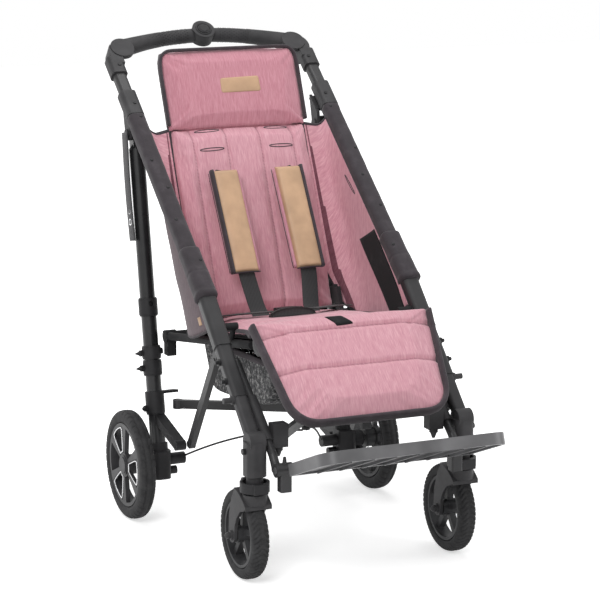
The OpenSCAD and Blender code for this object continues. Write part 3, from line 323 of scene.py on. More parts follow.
def coated(name, color, rough, metallic=0.0, coat=0.2, wear=0.4):
    """Powder coat on tube: orange peel, a little dust, and metal showing through along the edges."""
    m = Mat(name, color, rough, metallic=metallic, coat=coat, specular=0.25)
    m.put("Coat Roughness", 0.25)
    soft, rim = m.rounded(0.001)
    peel = m.noise(260, 2.0)
    cloud = m.noise(14, 3.0)
    pale = tone(color, 1.22, 0.005)
    deep = tone(color, 0.82)
    rubbed = tone(color, 1.8, 0.03)
    m.color(m.mix(m.math("MULTIPLY", rim, wear), m.ramp(cloud, (0.3, deep), (0.7, pale)), (*rubbed, 1)))
    m.rough(m.spread(cloud, rough - 0.06, rough + 0.08))
    m.bump(peel, 0.1, 0.0004, soft)
    return m.m


def rubber(name, color, rough):
    """Tyre rubber: matt, dusty and slightly pitted."""
    m = Mat(name, color, rough, specular=0.2)
    dust = m.noise(45, 5.0, 0.65)
    pits = m.noise(700, 2.0)
    pale = tone(color, 1.6, 0.012)
    m.color(m.ramp(dust, (0.35, color), (0.75, pale)))
    m.rough(m.spread(dust, rough - 0.05, rough + 0.12))
    m.bump(pits, 0.2, 0.0004)
    return m.m


def leatherette(name, color):
    """Smooth tan leatherette: pebbled grain, soft cloudy tone and a low sheen."""
    m = Mat(name, color, 0.5, specular=0.4)
    cloud = m.noise(26, 3.0)
    pebble = m.cells(m.space((1, 1, 1)), 620.0)
    deep = tone(color, 0.86)
    pale = tone(color, 1.1)
    m.color(m.ramp(cloud, (0.3, deep), (0.7, pale)))
    m.rough(m.spread(cloud, 0.44, 0.6))
    m.bump(pebble, 0.22, 0.0005)
    return m.m


def steel(name, color, rough):
    m = Mat(name, color, rough, metallic=1.0)
    soft, rim = m.rounded(0.0006)
    scratches = m.noise((60, 900, 900), 3.0)
    m.color(m.ramp(scratches, (0.3, tone(color, 0.8)), (0.7, tone(color, 1.15))))
    m.rough(m.spread(scratches, rough - 0.08, rough + 0.12))
    m.bump(scratches, 0.06, 0.0003, soft)
    return m.m


def netting(name):
    """Mesh cloth: pale and dark yarns in small cells, with holes between them."""
    m = Mat(name, (0.30, 0.30, 0.31), 0.75, specular=0.3)
    here = m.space((1, 1, 1))
    cells = m.cells(here, 300.0, "DISTANCE_TO_EDGE")
    yarn = m.noise(150, 3.0, 0.7)
    black, grey, white = (0.02, 0.02, 0.021), (0.10, 0.10, 0.103), (0.50, 0.49, 0.48)
    m.color(m.ramp(yarn, (0.38, black), (0.54, grey), (0.70, white)))
    m.bump(cells, 0.5, 0.0008)
    m.link(m.math("LESS_THAN", cells, 0.36), m.shader.inputs["Alpha"])
    return m.m


PINK_DARK = (0.49, 0.20, 0.255)
PINK = (0.605, 0.295, 0.35)
PINK_LIGHT = (0.745, 0.44, 0.49)
# A darker copy of the pink for the head pad: painted shade, for light that falls off towards its top.
HEAD_SHADED_DARK = (0.42, 0.15, 0.195)
HEAD_SHADED = (0.52, 0.22, 0.27)
HEAD_SHADED_LIGHT = (0.63, 0.32, 0.37)
# A darker copy of the pink for cushion sides and backs, and for the edges under the shoulder pads:
# painted shade.
PINK_SHADED = ((0.40, 0.15, 0.20), (0.52, 0.23, 0.29), (0.62, 0.33, 0.39))
DUSK = ((0.060, 0.040, 0.048), (0.102, 0.069, 0.080), (0.165, 0.115, 0.130))
SHADE = ((0.10, 0.035, 0.05), (0.155, 0.055, 0.075), (0.21, 0.085, 0.11))
THREADS = (620, 45, 45)
WING_THREADS = (60, 420, 60)
WING_TURN = (0.6, 0, 0)

pink = melange("pink_fabric", THREADS, PINK_DARK, PINK, PINK_LIGHT)
head_pink_shaded = melange("head_fabric_painted_shade", THREADS, HEAD_SHADED_DARK, HEAD_SHADED, HEAD_SHADED_LIGHT)
pink_wing = melange("pink_wing_fabric", (45, 520, 60), PINK_DARK, PINK, PINK_LIGHT, WING_TURN)
pink_shade = melange("pink_painted_shade", (500, 50, 50), *PINK_SHADED)
dusk = melange("wing_outside", WING_THREADS, *DUSK, WING_TURN)
plum = plain_weave("plum_binding", (0.047, 0.038, 0.044))
cover = plain_weave("cover_fabric", (0.040, 0.034, 0.039), 180.0)
black_web = ribbed_webbing("webbing", (0.018, 0.018, 0.019), "X")
side_web = ribbed_webbing("side_webbing", (0.03, 0.029, 0.031), "Y")
dusk_fold = melange("wing_fold_shade", WING_THREADS, *SHADE, WING_TURN)
fleece = plain_weave("hook_tape", (0.008, 0.008, 0.009), 120.0, 0.05, 0.95)
tan = leatherette("tan_leather", (0.505, 0.325, 0.2))
net = netting("net")
net_dark = plain_weave("mesh_roll", (0.10, 0.098, 0.10), 140.0)
frame_paint = coated("frame_grey", (0.029, 0.0285, 0.030), 0.42, coat=0.1)
leg_paint = coated("leg_black", (0.014, 0.014, 0.015), 0.26, coat=0.3, wear=0.25)
rail_paint = plain_weave("rail_black", (0.010, 0.010, 0.011), 300.0, 0.0, 0.7)
plate_paint = coated("plate_grey", (0.125, 0.124, 0.128), 0.36, metallic=0.35, coat=0.1)
casting = moulded("moulding", (0.041, 0.040, 0.042), 0.5)
casting_dark = moulded("moulding_dark", (0.019, 0.0185, 0.020), 0.48)
rim_plastic = moulded("rim_plastic", (0.036, 0.036, 0.038), 0.42, wear=0.6)
grip = moulded("grip_rubber", (0.043, 0.042, 0.044), 0.62, 500.0, 0.2)
tread = rubber("tread", (0.026, 0.0258, 0.0268), 0.72)
axle = steel("axle_steel", (0.55, 0.55, 0.56), 0.3)
chrome = steel("silver_trim", (0.74, 0.74, 0.75), 0.26)
screw = moulded("screw_black", (0.014, 0.014, 0.015), 0.4, 700.0, 0.6, edge=0.0005)
panel = plain_weave("board", (0.020, 0.019, 0.021), 150.0)

# Mesh helpers

PAD_VOXEL = 5.0


def make(name, verts, faces, mats, places=None):
    """A mesh object with its normals facing outwards. places gives each face's material."""
    mesh = bpy.data.meshes.new(name)
    mesh.from_pydata([tuple(v) for v in verts], [], faces)
    for m in mats:
        mesh.materials.append(m)
    if places:
        mesh.polygons.foreach_set("material_index", places)
    b = bmesh.new()
    b.from_mesh(mesh)
    bmesh.ops.recalc_face_normals(b, faces=b.faces)
    b.to_mesh(mesh)
    b.free()
    mesh.polygons.foreach_set("use_smooth", [True] * len(mesh.polygons))
    ob = bpy.data.objects.new(name, mesh)
    bpy.context.scene.collection.objects.link(ob)
    return ob


def done(ob, body, slot, *nodes):
    """Puts a finished piece on its body, in place of CAD nodes. slot is not used."""
    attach(ob, body)
    if nodes:
        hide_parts(*nodes)
    return ob


def pad_grid(name, nu, nv, front, back, mats):
    """Closed pad between a front and a back grid. Its rim and back take the second material."""
    verts = [front(i / nu, j / nv) for j in range(nv + 1) for i in range(nu + 1)]
    half = len(verts)
    verts += [back(i / nu, j / nv) for j in range(nv + 1) for i in range(nu + 1)]
    w = nu + 1
    corners = [j * w + i for j in range(nv) for i in range(nu)]
    faces = [(k, k + 1, k + w + 1, k + w) for k in corners]
    places = [0] * len(faces)
    faces += [tuple(half + k for k in reversed(f)) for f in faces]
    rim = [i for i in range(w)] + [j * w + nu for j in range(1, nv + 1)]
    rim += [nv * w + i for i in range(nu - 1, -1, -1)] + [j * w for j in range(nv - 1, 0, -1)]
    faces += [(a, half + a, half + b, b) for a, b in zip(rim, rim[1:] + rim[:1])]
    places += [1] * (len(faces) - len(places))
    return make(name, verts, faces, mats, places)


def layer(name, nu, nv, at, front, back, mats):
    """A thin pad between two heights of a place function of u, v and height."""
    return pad_grid(name, nu, nv, lambda u, v: at(u, v, front), lambda u, v: at(u, v, back), mats)


def rings_mesh(name, rings, mats, closed=False):
    """Skin over rings of points of equal length, closed into a loop or capped at its ends."""
    n = len(rings[0])
    verts = [p for r in rings for p in r]
    count = len(rings) if closed else len(rings) - 1
    faces = []
    for k in range(count):
        a = k * n
        b = (k + 1) % len(rings) * n
        faces += [(a + i, a + (i + 1) % n, b + (i + 1) % n, b + i) for i in range(n)]
    if not closed:
        faces += [tuple(reversed(range(n))), tuple(range(len(verts) - n, len(verts)))]
    return make(name, verts, faces, mats)


def sweep(name, path, facing, section, mats, closed=False):
    """A section, given as (across, along facing) in mm, carried along a path."""
    rings = []
    last = len(path) - 1
    for k, p in enumerate(path):
        before = path[k - 1] if closed else path[max(k - 1, 0)]
        after = path[(k + 1) % len(path)] if closed else path[min(k + 1, last)]
        t = (after - before).normalized()
        side = t.cross(facing).normalized()
        up = side.cross(t).normalized()
        rings.append([p + (side * a + up * b) * MM for a, b in section])
    return rings_mesh(name, rings, mats, closed)


def bind(name, path, facing, section, body, slot="cover_fabric", mat=plum, closed=False):
    """A swept trim, put on its body at once."""
    return done(sweep(name, path, facing, section, [mat], closed), body, slot)


def join(obs, name):
    """Several meshes made one piece."""
    bpy.ops.object.select_all(action="DESELECT")
    for ob in obs:
        ob.select_set(True)
    bpy.context.view_layer.objects.active = obs[0]
    bpy.ops.object.join()
    obs[0].name = name
    return obs[0]


def oval(w, h, n, power=2.0):
    """Closed outline, w wide and h high; a power over 2 squares it off."""

    def bent(k):
        return math.copysign(abs(k) ** (2 / power), k)

    return [(w / 2 * bent(math.cos(a)), h / 2 * bent(math.sin(a))) for a in circle(n)]


def rrect(w, d, r, steps):
    """Rounded rectangle, as points."""
    out = []
    for cx, cy, a0 in ((1, 1, 0), (-1, 1, 90), (-1, -1, 180), (1, -1, 270)):
        for k in range(steps + 1):
            a = math.radians(a0 + 90 * k / steps)
            out.append((cx * (w / 2 - r) + r * math.cos(a), cy * (d / 2 - r) + r * math.sin(a)))
    return out


def smooth_path(points, each, passes, closed=False):
    """A path through points, cut finer and evened out, with its ends kept."""
    out = []
    pairs = list(zip(points, points[1:] + points[:1])) if closed else list(zip(points, points[1:]))
    for a, b in pairs:
        out += [a.lerp(b, k / each) for k in range(each)]
    if not closed:
        out.append(points[-1])
    for _ in range(passes):
        n = len(out)
        moved = [(out[k - 1] + out[k] * 2 + out[(k + 1) % n]) / 4 for k in range(n)]
        if not closed:
            moved[0], moved[-1] = out[0], out[-1]
        out = moved
    return out


def domes(name, spots, r, h, mats, sides):
    """Small domed heads, each at a point with an outward direction."""
    verts = []
    faces = []
    for p, n in spots:
        n = n.normalized()
        u = n.orthogonal().normalized()
        v = n.cross(u)
        base = len(verts)
        for size, rise in ((1, -0.4), (1, 0.35), (0.82, 0.75), (0.45, 0.96)):
            for a in circle(sides):
                verts.append(p + (u * math.cos(a) + v * math.sin(a)) * r * size * MM + n * h * rise * MM)
        verts.append(p + n * h * MM)
        for ring in range(3):
            for k in range(sides):
                a, b = base + ring * sides, base + (ring + 1) * sides
                faces.append((a + k, a + (k + 1) % sides, b + (k + 1) % sides, b + k))
        top = base + 3 * sides
        faces += [(top + k, top + (k + 1) % sides, base + 4 * sides) for k in range(sides)]
        faces.append(tuple(reversed(range(base, base + sides))))
    return make(name, verts, faces, mats)


def apply_mods(ob):
    """The mesh as its modifiers leave it."""
    dg = bpy.context.evaluated_depsgraph_get()
    mesh = bpy.data.meshes.new_from_object(ob.evaluated_get(dg))
    old = ob.data
    ob.modifiers.clear()
    ob.data = mesh
    bpy.data.meshes.remove(old)


def puff(ob, facing, cap, spread):
    """Blows a closed pad up as cloth under pressure, its back held, and adds one subdivision.
    A point moves cap at most along facing, and spread at most across it."""
    remesh = ob.modifiers.new("remesh", "REMESH")
    remesh.mode = "VOXEL"
    remesh.voxel_size = PAD_VOXEL * MM
    remesh.use_smooth_shade = True
    apply_mods(ob)
    rest = [v.co.copy() for v in ob.data.vertices]
    held = ob.vertex_groups.new(name="held")
    held.add([v.index for v in ob.data.vertices if v.normal.dot(facing) < -0.35], 1.0, "REPLACE")
    cloth = ob.modifiers.new("cloth", "CLOTH")
    cloth.settings.use_pressure = True
    cloth.settings.uniform_pressure_force = 4.0
    cloth.settings.quality = 4
    cloth.settings.vertex_group_mass = "held"
    cloth.settings.effector_weights.gravity = 0
    cloth.collision_settings.use_collision = False
    for f in range(1, 21):
        bpy.context.scene.frame_set(f)
    dg = bpy.context.evaluated_depsgraph_get()
    blown = [v.co.copy() for v in ob.evaluated_get(dg).data.vertices]
    ob.modifiers.remove(cloth)
    ob.vertex_groups.remove(held)
    bpy.context.scene.frame_set(1)
    places = []
    for a, b in zip(rest, blown):
        move = b - a
        along = facing * max(-cap * MM, min(cap * MM, move.dot(facing)))
        across = move - facing * move.dot(facing)
        if across.length > spread * MM:
            across *= spread * MM / across.length
        places.extend(a + along + across)
    ob.data.vertices.foreach_set("co", places)
    ob.data.update()
    ob.modifiers.new("finer", "SUBSURF").levels = 1
    apply_mods(ob)


def sew(ob, facing, depth_at, seam_at):
    """Draws seams into a pad's front: depth_at gives the dent in mm, seam_at the mask of the stitch
    thread and of the shade painted along the seam.
    """
    mesh = ob.data
    fronts = [max(0.0, min(1.0, (v.normal.dot(facing) - 0.1) * 2.5)) for v in mesh.vertices]
    places = []
    masks = []
    for v, front in zip(mesh.vertices, fronts):
        q = v.co / MM
        masks.append(seam_at(q) * front)
        places.extend(v.co - facing * depth_at(q) * front * MM)
    mesh.vertices.foreach_set("co", places)
    mesh.update()
    layer = mesh.attributes.new("seam", "FLOAT", "POINT")
    layer.data.foreach_set("value", masks)


def dress(ob, facing, mats, limit=0.2):
    """Front faces take the first material, and sides and back the second."""
    ob.data.materials.clear()
    for m in mats:
        ob.data.materials.append(m)
    faces = ob.data.polygons
    faces.foreach_set("material_index", [0 if f.normal.dot(facing) > limit else 1 for f in faces])
    faces.foreach_set("use_smooth", [True] * len(faces))


def along_of(place):
    """A function that gives a point's distance along a slope. Both are in mm."""
    zero = place(0, 0, 0)
    run = (place(0, 1, 0) - zero).normalized()
    return lambda q: (q * MM - zero).dot(run) / MM


# Back cushion and head pad

BACK_HALF = 162
BACK_FOOT, BACK_LEN = 22, 418
HEAD_FOOT, HEAD_LEN = 439, 179
PAD_REAR = -34
BACK_SEAMS = (-118, -40, 40, 118)
back_face = normal_of(backed)
back_d = along_of(backed)


def back_front(u, v):
    half = BACK_HALF - 5 * (1 - swell(v)) - 2 * swell(v)
    rise = -13 + 8 * swell(u) ** 0.7 + 4 * swell(v) ** 0.5
    return backed((2 * u - 1) * half, BACK_FOOT + v * BACK_LEN, rise)


def back_rear(u, v):
    return backed((2 * u - 1) * (BACK_HALF - 5 * (1 - swell(v))), BACK_FOOT + v * BACK_LEN, PAD_REAR)


back_pad = pad_grid("back_cushion_soft", 60, 70, back_front, back_rear, [pink])
puff(back_pad, back_face, 6, 2.5)


def back_dent(q):
    d = back_d(q)
    lines = sum(dip(q.x, s, 5.5) for s in BACK_SEAMS)
    pucker = sum(dip(q.x, s, 16) * math.sin(d / 5.2 + s) for s in BACK_SEAMS) * 0.35
    tuck = 3.5 * dip(d, 440, 16)
    return 4.2 * lines + pucker + tuck + 1.2 * noise.noise(Vector((q.x / 70, d / 90, 0)))


sew(back_pad, back_face, back_dent, lambda q: min(1, sum(dip(q.x, s, 1.6) for s in BACK_SEAMS)))
# The back cushion's sides and back take the darker pink copy: painted shade.
dress(back_pad, back_face, [pink, pink_shade], 0.0)
done(back_pad, "backrest", "pink_fabric", "back_cushion")


def head_half(v):
    return (BACK_HALF + v) * (1 - 0.05 * max(0, (v - 0.8) / 0.2) ** 2)


def head_front(u, v):
    rise = -16 + 13 * swell(u) ** 0.6 * swell(v, 5) ** 0.6
    return backed((2 * u - 1) * head_half(v), HEAD_FOOT + v * HEAD_LEN, rise)


def head_rear(u, v):
    return backed((2 * u - 1) * head_half(v), HEAD_FOOT + v * HEAD_LEN, PAD_REAR)


head = pad_grid("head_pad_soft", 60, 36, head_front, head_rear, [pink])
puff(head, back_face, 7, 2.5)


def head_dent(q):
    d = back_d(q)
    edge = max(0, 1 - abs(d - 452) / 26)
    crease = math.sin(q.x / 7.5 + 2.2 * noise.noise(Vector((q.x / 40, d / 30, 3))))
    return 0.9 * edge * crease + 1.3 * noise.noise(Vector((q.x / 60, d / 45, 7)))


sew(head, back_face, head_dent, lambda q: 0.0)
# The head pad's front takes the darker pink copy: painted shade.
dress(head, back_face, [head_pink_shaded, plum])
done(head, "backrest", "pink_fabric", "head_pad")

outline = [backed(-head_half(v) - 0.5, 450 + v * 166, -13) for v in (0, 0.25, 0.5, 0.75, 0.93)]
outline += [backed(u * head_half(1), HEAD_FOOT + HEAD_LEN + 1, -13) for u in (-0.93, -0.5, 0, 0.5, 0.93)]
outline += [backed(head_half(v) + 0.5, 450 + v * 166, -13) for v in (0.93, 0.75, 0.5, 0.25, 0)]
path = smooth_path(outline, 8, 6)
bind("head_binding", path, back_face, oval(6.5, 15, 12, 2.6), "backrest")


def on_surface(ob, x, d, place, facing, start):
    """The point where a line along the facing direction meets a piece, from in front."""
    hit, spot, _, _ = ob.ray_cast(place(x, d, start), -facing)
    return spot if hit else place(x, d, 0)


ROUND_OFF = 0.12


def patch(name, ob, place, facing, corners, thick, mat, nu, nv, start=120):
    """A thin piece lying on a soft one: corners are its (x, d) corners, anticlockwise."""

    def at(u, v):
        """A point of the soft piece, drawn in near the patch's lower and upper edges."""
        e = max(0, abs(2 * v - 1) - (1 - 2 * ROUND_OFF)) / (2 * ROUND_OFF)
        u = 0.5 + (u - 0.5) * (1 - 0.16 * e * e * ROUND_OFF * 4)
        a = [lerp(corners[0][k], corners[1][k], u) for k in (0, 1)]
        b = [lerp(corners[3][k], corners[2][k], u) for k in (0, 1)]
        return on_surface(ob, lerp(a[0], b[0], v), lerp(a[1], b[1], v), place, facing, start)

    def top(u, v):
        lift = thick * (0.35 + 0.65 * min(1, min(u, 1 - u, v, 1 - v) * 12))
        return at(u, v) + facing * lift * MM

    def bottom(u, v):
        return at(u, v) - facing * 0.8 * MM

    return pad_grid(name, nu, nv, top, bottom, [mat, mat])


corners = [(-34.5, 514), (58.5, 514), (57.5, 549), (-33.5, 547)]
label = patch("head_label", head, backed, back_face, corners, 1.3, tan, 28, 12)
done(label, "backrest", "tan_leather")


def slot_loop(name, x, d, slope):
    """A stitched slot for a strap: a long dark thread loop on the pad."""
    ring = []
    for a in circle(40):
        px, pd = x + 28 * math.cos(a), d + 3.2 * math.sin(a) + slope * 28 * math.cos(a)
        ring.append(on_surface(back_pad, px, pd, backed, back_face, 60) + back_face * 0.3 * MM)
    return sweep(name, ring, back_face, oval(2.0, 1.6, 8), [plum], True)


for side, word in SIDES:
    for row, d in (("upper", 433), ("lower", 388)):
        loop = slot_loop(f"back_slot_{row}_{word}", side * 82 + 4, d, -0.02 * side)
        done(loop, "backrest", "cover_fabric")

# Seat cushion

SEAT_HALF = 181
SEAT_FRONT = 326
SEAT_SEAMS = (128, 226)
seat_face = normal_of(seated)
seat_d = along_of(seated)


def seat_at(u, v, height):
    """A point of the seat, whose rear runs under the back between the recline arms."""
    k = max(0, min(1, (abs(2 * u - 1) - 0.68) / 0.14))
    rear = lerp(-16, 20, k * k * (3 - 2 * k))
    x = (2 * u - 1) * SEAT_HALF * (1 - 0.03 * (1 - swell(v)))
    return seated(x, lerp(rear, SEAT_FRONT, v), height)


def seat_front(u, v):
    return seat_at(u, v, 22 + 14 * swell(u) * (0.55 + 0.45 * swell(0.5 + 0.5 * v)))


def seat_rear(u, v):
    return seat_at(u, v, 15.6)


seat = pad_grid("seat_cushion_soft", 64, 54, seat_front, seat_rear, [pink])
puff(seat, seat_face, 5, 2)


def seat_lines(q, width):
    return sum(dip(seat_d(q), s, width) for s in SEAT_SEAMS)


def seat_dent(q):
    return 4.5 * seat_lines(q, 7) + 0.4 * math.sin(q.x / 6) * seat_lines(q, 16) + noise.noise(q / 60)


sew(seat, seat_face, seat_dent, lambda q: min(1, seat_lines(q, 1.7)))
dress(seat, seat_face, [pink, plum])
done(seat, "chassis", "pink_fabric", "seat_cushion")

# Calf pad

CALF_TOP_EDGE, CALF_LEN = -14, 236
CALF_SEAMS = (22, 108.4)
calf_face = normal_of(calved)
calf_d = along_of(calved)


def calf_half(v):
    half = lerp(198, 169, v)
    corner = max(0, (v - 0.78) / 0.22)
    return half - 46 * (1 - math.sqrt(max(0, 1 - corner * corner)))


def calf_front(u, v):
    d = CALF_TOP_EDGE + v * CALF_LEN - 4 * swell(u) * max(0, 1 - v / 0.1)
    roll = 5 * swell(u) * max(0, 1 - v / 0.2)
    rise = 6 + 13 * swell(u, 6) ** 0.7 * swell(v, 8) ** 0.6 + roll
    return calved((2 * u - 1) * calf_half(v), d, rise)


def calf_rear(u, v):
    return calved((2 * u - 1) * calf_half(v), CALF_TOP_EDGE + v * CALF_LEN, -4)


calf = pad_grid("calf_pad_soft", 66, 46, calf_front, calf_rear, [pink])
puff(calf, calf_face, 9, 2)


def calf_dent(q):
    d = calf_d(q)
    lines = sum(dip(d, s, 5.5) for s in CALF_SEAMS)
    pucker = sum(dip(d, s, 20) * math.sin(q.x / 7.5 + s + 1.8 * noise.noise(q / 45)) for s in CALF_SEAMS)
    hem = dip(d, 214, 24) * math.sin(q.x / 11 + 2.4 * noise.noise(q / 38))
    return 5.5 * lines + 0.5 * pucker + 0.9 * hem + 1.4 * noise.noise(q / 75)


sew(calf, calf_face, calf_dent, lambda q: min(1, sum(dip(calf_d(q), s, 1.7) for s in CALF_SEAMS)))
dress(calf, calf_face, [pink, plum])
done(calf, "chassis", "pink_fabric", "calf_pad")

sides = (0.02, 0.2, 0.4, 0.6, 0.78, 0.86, 0.92, 0.96, 0.985)
outline = [calved(-calf_half(v) - 1, CALF_TOP_EDGE + v * CALF_LEN, 7) for v in sides]
outline += [calved(u * calf_half(0.99), 223, 7) for u in (-0.9, -0.6, -0.2, 0.2, 0.6, 0.9)]
outline += [calved(calf_half(v) + 1, CALF_TOP_EDGE + v * CALF_LEN, 7) for v in reversed(sides)]
path = smooth_path(outline, 8, 5)
bind("calf_binding", path, calf_face, oval(11, 25, 14, 2.8), "chassis")

corners = [(-41, -12), (-4, -11), (12, 17), (-26, 18)]
strip = patch("calf_hook_strip", calf, calved, calf_face, corners, 1.6, fleece, 12, 12, 80)
done(strip, "chassis", "webbing")

# Binding along the seat's sides up to the knee corners, and the rolled mesh under each corner

for side, word in SIDES:
    line = [seated(side * 184, d, 26) for d in (60, 150, 240, 300)]
    line += [seated(side * 190, 328, 18), seated(side * 194, 342, 20), calved(side * 195, -8, 8)]
    path = smooth_path(line, 8, 4)
    bind(f"seat_binding_{word}", path, seat_face, oval(8, 9, 12, 2.6), "chassis")
    rings = []
    for k in range(9):
        t = k / 8
        mid = calved(side * 184, 10 + 34 * t, -16)
        r = 13 * (0.75 + 0.25 * math.sin(math.pi * t))
        ring = []
        for a in circle(20):
            wide = r * (1 + 0.06 * math.cos(5 * a)) * MM
            ring.append(mid + Vector((wide * math.cos(a), 0, 0)) + calf_face * wide * math.sin(a) * 0.8)
        rings.append(ring)
    roll = rings_mesh(f"knee_mesh_roll_{word}", rings, [net_dark])
    done(roll, "chassis", "net")

# Side wings: one sheet from the back's edge to the main tube

WING_T = 5
WING_FOOT_X = -176
WING_BACK_X = -157
WING_FOLD_X = -219
WING_OUT_X = -TUBE_X + 15.5 + WING_T
WING_PULL = 3


def wing_edge_in(v):
    """Edge along the back's side, which starts above the recline hinge."""
    k = min(1, v / 0.2)
    k = k * k * (3 - 2 * k)
    return backed(lerp(WING_FOOT_X, WING_BACK_X, k), 38 + v * 405, lerp(-15, -24, k))


def wing_edge_out(v):
    s = v * 541 - 52
    return lower(WING_OUT_X, -s, -4) if s < 0 else upper(WING_OUT_X, s, -4)


def wing_fold(v):
    """Line where the outer panel turns in to the back."""
    return backed(WING_FOLD_X + 22 * v * v, v * 445 - 12, 78 * math.exp(-v / 0.25) - 20)


def wing_at(side, t, v, lift=0.0):
    """A point of a wing, lift mm inside its inner face.
    t runs from the back to the tube, and v from the seat up."""
    u = (1 - math.cos(math.pi * t)) / 2
    p, q, r = (1 - u) ** 2, 2 * WING_PULL * u * (1 - u), u * u
    at = (wing_edge_in(v) * p + wing_fold(v) * q + wing_edge_out(v) * r) / (p + q + r)
    bow = math.sin(math.pi * t)
    lift += 2.2 * bow * math.sin(math.pi * max(0, min(1, v))) * noise.noise(Vector((t * 2.6, v * 6, 2)))
    at += (Vector((0.8, 0, 0)) + back_face * 0.6) * lift * MM
    return Vector((-side * at.x, at.y, at.z - 22 * bow * max(0, 1 - v / 0.22) ** 2 * MM))


def follow_wing(ob, side):
    """Bakes a wing piece's place into its mesh. The cloth lies between the frame and the reclining back,
    inboard of the rear legs.
    """
    fixed, moving = backed(side * 199, 250, 0), backed(side * 168, 250, 0)
    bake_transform(ob)


def wing(side, word):
    """One side's cloth, with a shaded fold along the back."""
    nu, nv = 40, 64

    def at(u, v, lift):
        return wing_at(side, u, v, lift)

    ob = layer(f"side_wing_cloth_{word}", nu, nv, at, 0.0, -WING_T, [pink_wing, dusk])
    ob.data.materials.append(dusk_fold)
    for f in ob.data.polygons[:nu * nv]:
        if 5 <= f.index % nu <= 8.6 - 3 * (f.index // nu) / nv:
            f.material_index = 2
    follow_wing(ob, side)
    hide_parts(f"side_wing_{word}")


for side, word in SIDES:
    wing(side, word)
    middle = -WING_T / 2
    rim = [wing_at(side, 1 - k / 16, 1, middle) for k in range(17)]
    rim += [wing_at(side, 0, 1 - k / 40, middle) for k in range(1, 41)]
    rim += [wing_at(side, k / 16, 0, middle) for k in range(1, 17)]
    trim = sweep(f"wing_binding_{word}", rim, Vector((1, 0, 0)), oval(5, 8, 10, 2.6), [plum])
    follow_wing(trim, side)
    loop = []
    for a in circle(40):
        c, s = math.cos(a), math.sin(a)
        loop.append(wing_at(side, 0.86 + 0.012 * s - 0.02 * c, 0.645 + 0.055 * c, 0.4))
    slit = sweep(f"wing_slot_{word}", loop, Vector((1, 0, 0)), oval(1.8, 1.6, 8), [plum], True)
    follow_wing(slit, side)


def tape_at(u, v, lift):
    t = lerp(lerp(0.765, 0.71, v), lerp(0.915, 0.955, v), u)
    return wing_at(1, t, lerp(0.0, 0.375 + 0.015 * u, v), lift)


def tag_at(u, v, lift):
    return wing_at(-1, lerp(0.745, 0.775, u), lerp(0.03, 0.062, v), lift)


tape = layer("wing_hook_tape", 12, 30, tape_at, 1.5, -0.5, [fleece, fleece])
follow_wing(tape, 1)
tag = layer("wing_tag", 4, 6, tag_at, -WING_T - 0.9, -WING_T + 0.4, [tan, tan])
follow_wing(tag, -1)

# Tube covers: cloth sleeves with hems, snaps and a thicker flap at the bend

SNAPS = ((508, -6, 15.6), (380, 8, 15.4), (300, -4, 15.4), (210, 6, 15.4),
         (92, -10, 20.7), (24, 8, 20.9))


def sleeve_ring(s, w, d, r, shift, flare, seed):
    ring = []
    for a, b in rrect(w, d, r, 6):
        wrinkle = 0.7 * noise.noise(Vector((a / 14, b / 14, s / 26 + seed)))
        grow = 1 + (wrinkle + flare * (1 if a < 0 else 0.4)) / max(8, math.hypot(a, b))
        ring.append((a * grow, b * grow + shift))
    return ring


def sleeve(name, side, stations, w, d, r, shift, seed):
    rings = []
    for s, swollen, flare in stations:
        ring = sleeve_ring(s, w + swollen, d + swollen, r, shift, flare, seed)
        rings.append([upper(side * (TUBE_X - a), s, b) for a, b in ring])
    return rings_mesh(name, rings, [cover])


for side, word in SIDES:
    stations = [(1, -2.5, 0), (3, 0.2, 0), (9, 0.6, 0), (11, 0.0, 0)]
    stations += [(s, 0, 0) for s in range(16, 500, 6)]
    stations += [(503, 0, 0), (505, 0.7, 0), (515, 0.7, 0), (518, 0, 0), (518.4, -3, 0)]
    long = sleeve(f"tube_cover_cloth_{word}", side, stations, 37.6, 30.6, 11, 0, 3 * side)
    done(long, "chassis", "cover_fabric", f"tube_cover_{word}")
    stations = [(2, -4, 2), (4, 0, 3), (12, 0.5, 3), (14, -0.4, 2.6)]
    stations += [(s, 0, 2.4 - s / 70) for s in range(20, 62, 6)]
    stations += [(63, 0.2, 1.4), (65, -1.2, 1.2), (67, 0.2, 1.2)]
    stations += [(s, 0, 1.1 - s / 140) for s in range(73, 120, 6)]
    stations += [(121, 0.5, 0), (128, 0.5, 0), (130, -1, 0), (130.5, -5, 0)]
    flap = sleeve(f"tube_flap_{word}", side, stations, 43, 36, 13, 2.5, 7 * side)
    done(flap, "chassis", "cover_fabric")
    up = normal_of(upper)
    spots = [(upper(side * (TUBE_X + x), s, n), up) for s, x, n in SNAPS]
    snaps = domes(f"cover_snaps_{word}", spots, 3.6, 1.5, [screw], 14)
    done(snaps, "chassis", "screw_black")

# Harness: webbing, shoulder pads and lap belt

WEB_T = 2.6
STRAP = ((-78, 314, -8), (-78, 319, 14), (-77, 322, 36), (-76, 308, 44),
         (-74.5, 212, 56), (-73, 92, 73), (-62, 14, 77), (-57, -12, 93))
PAD_X = 74
PAD_HALF = 29
QUARTERS = (0, 0.25, 0.5, 0.75, 1)
BELT = ((-162, 40, 44), (-120, 90, 49), (-70, 135, 51), (-24, 158, 52))
BELT_X = -24


def webbing(name, path, facing, width):
    return sweep(name, path, facing, rrect(width, WEB_T, WEB_T * 0.45, 2), [black_web])


straps = []
for side, word in SIDES:
    path = smooth_path([backed(-side * x, d, n) for x, d, n in STRAP], 8, 6)
    straps.append(webbing(f"harness_strap_{word}", path, back_face, 37))
done(join(straps, "harness_straps_webbing"), "backrest", "webbing", "harness_straps")


def pad_line(v):
    """Distance up the back, and height over it, along a shoulder pad."""
    return 97 + v * 234, 75 - v * 34


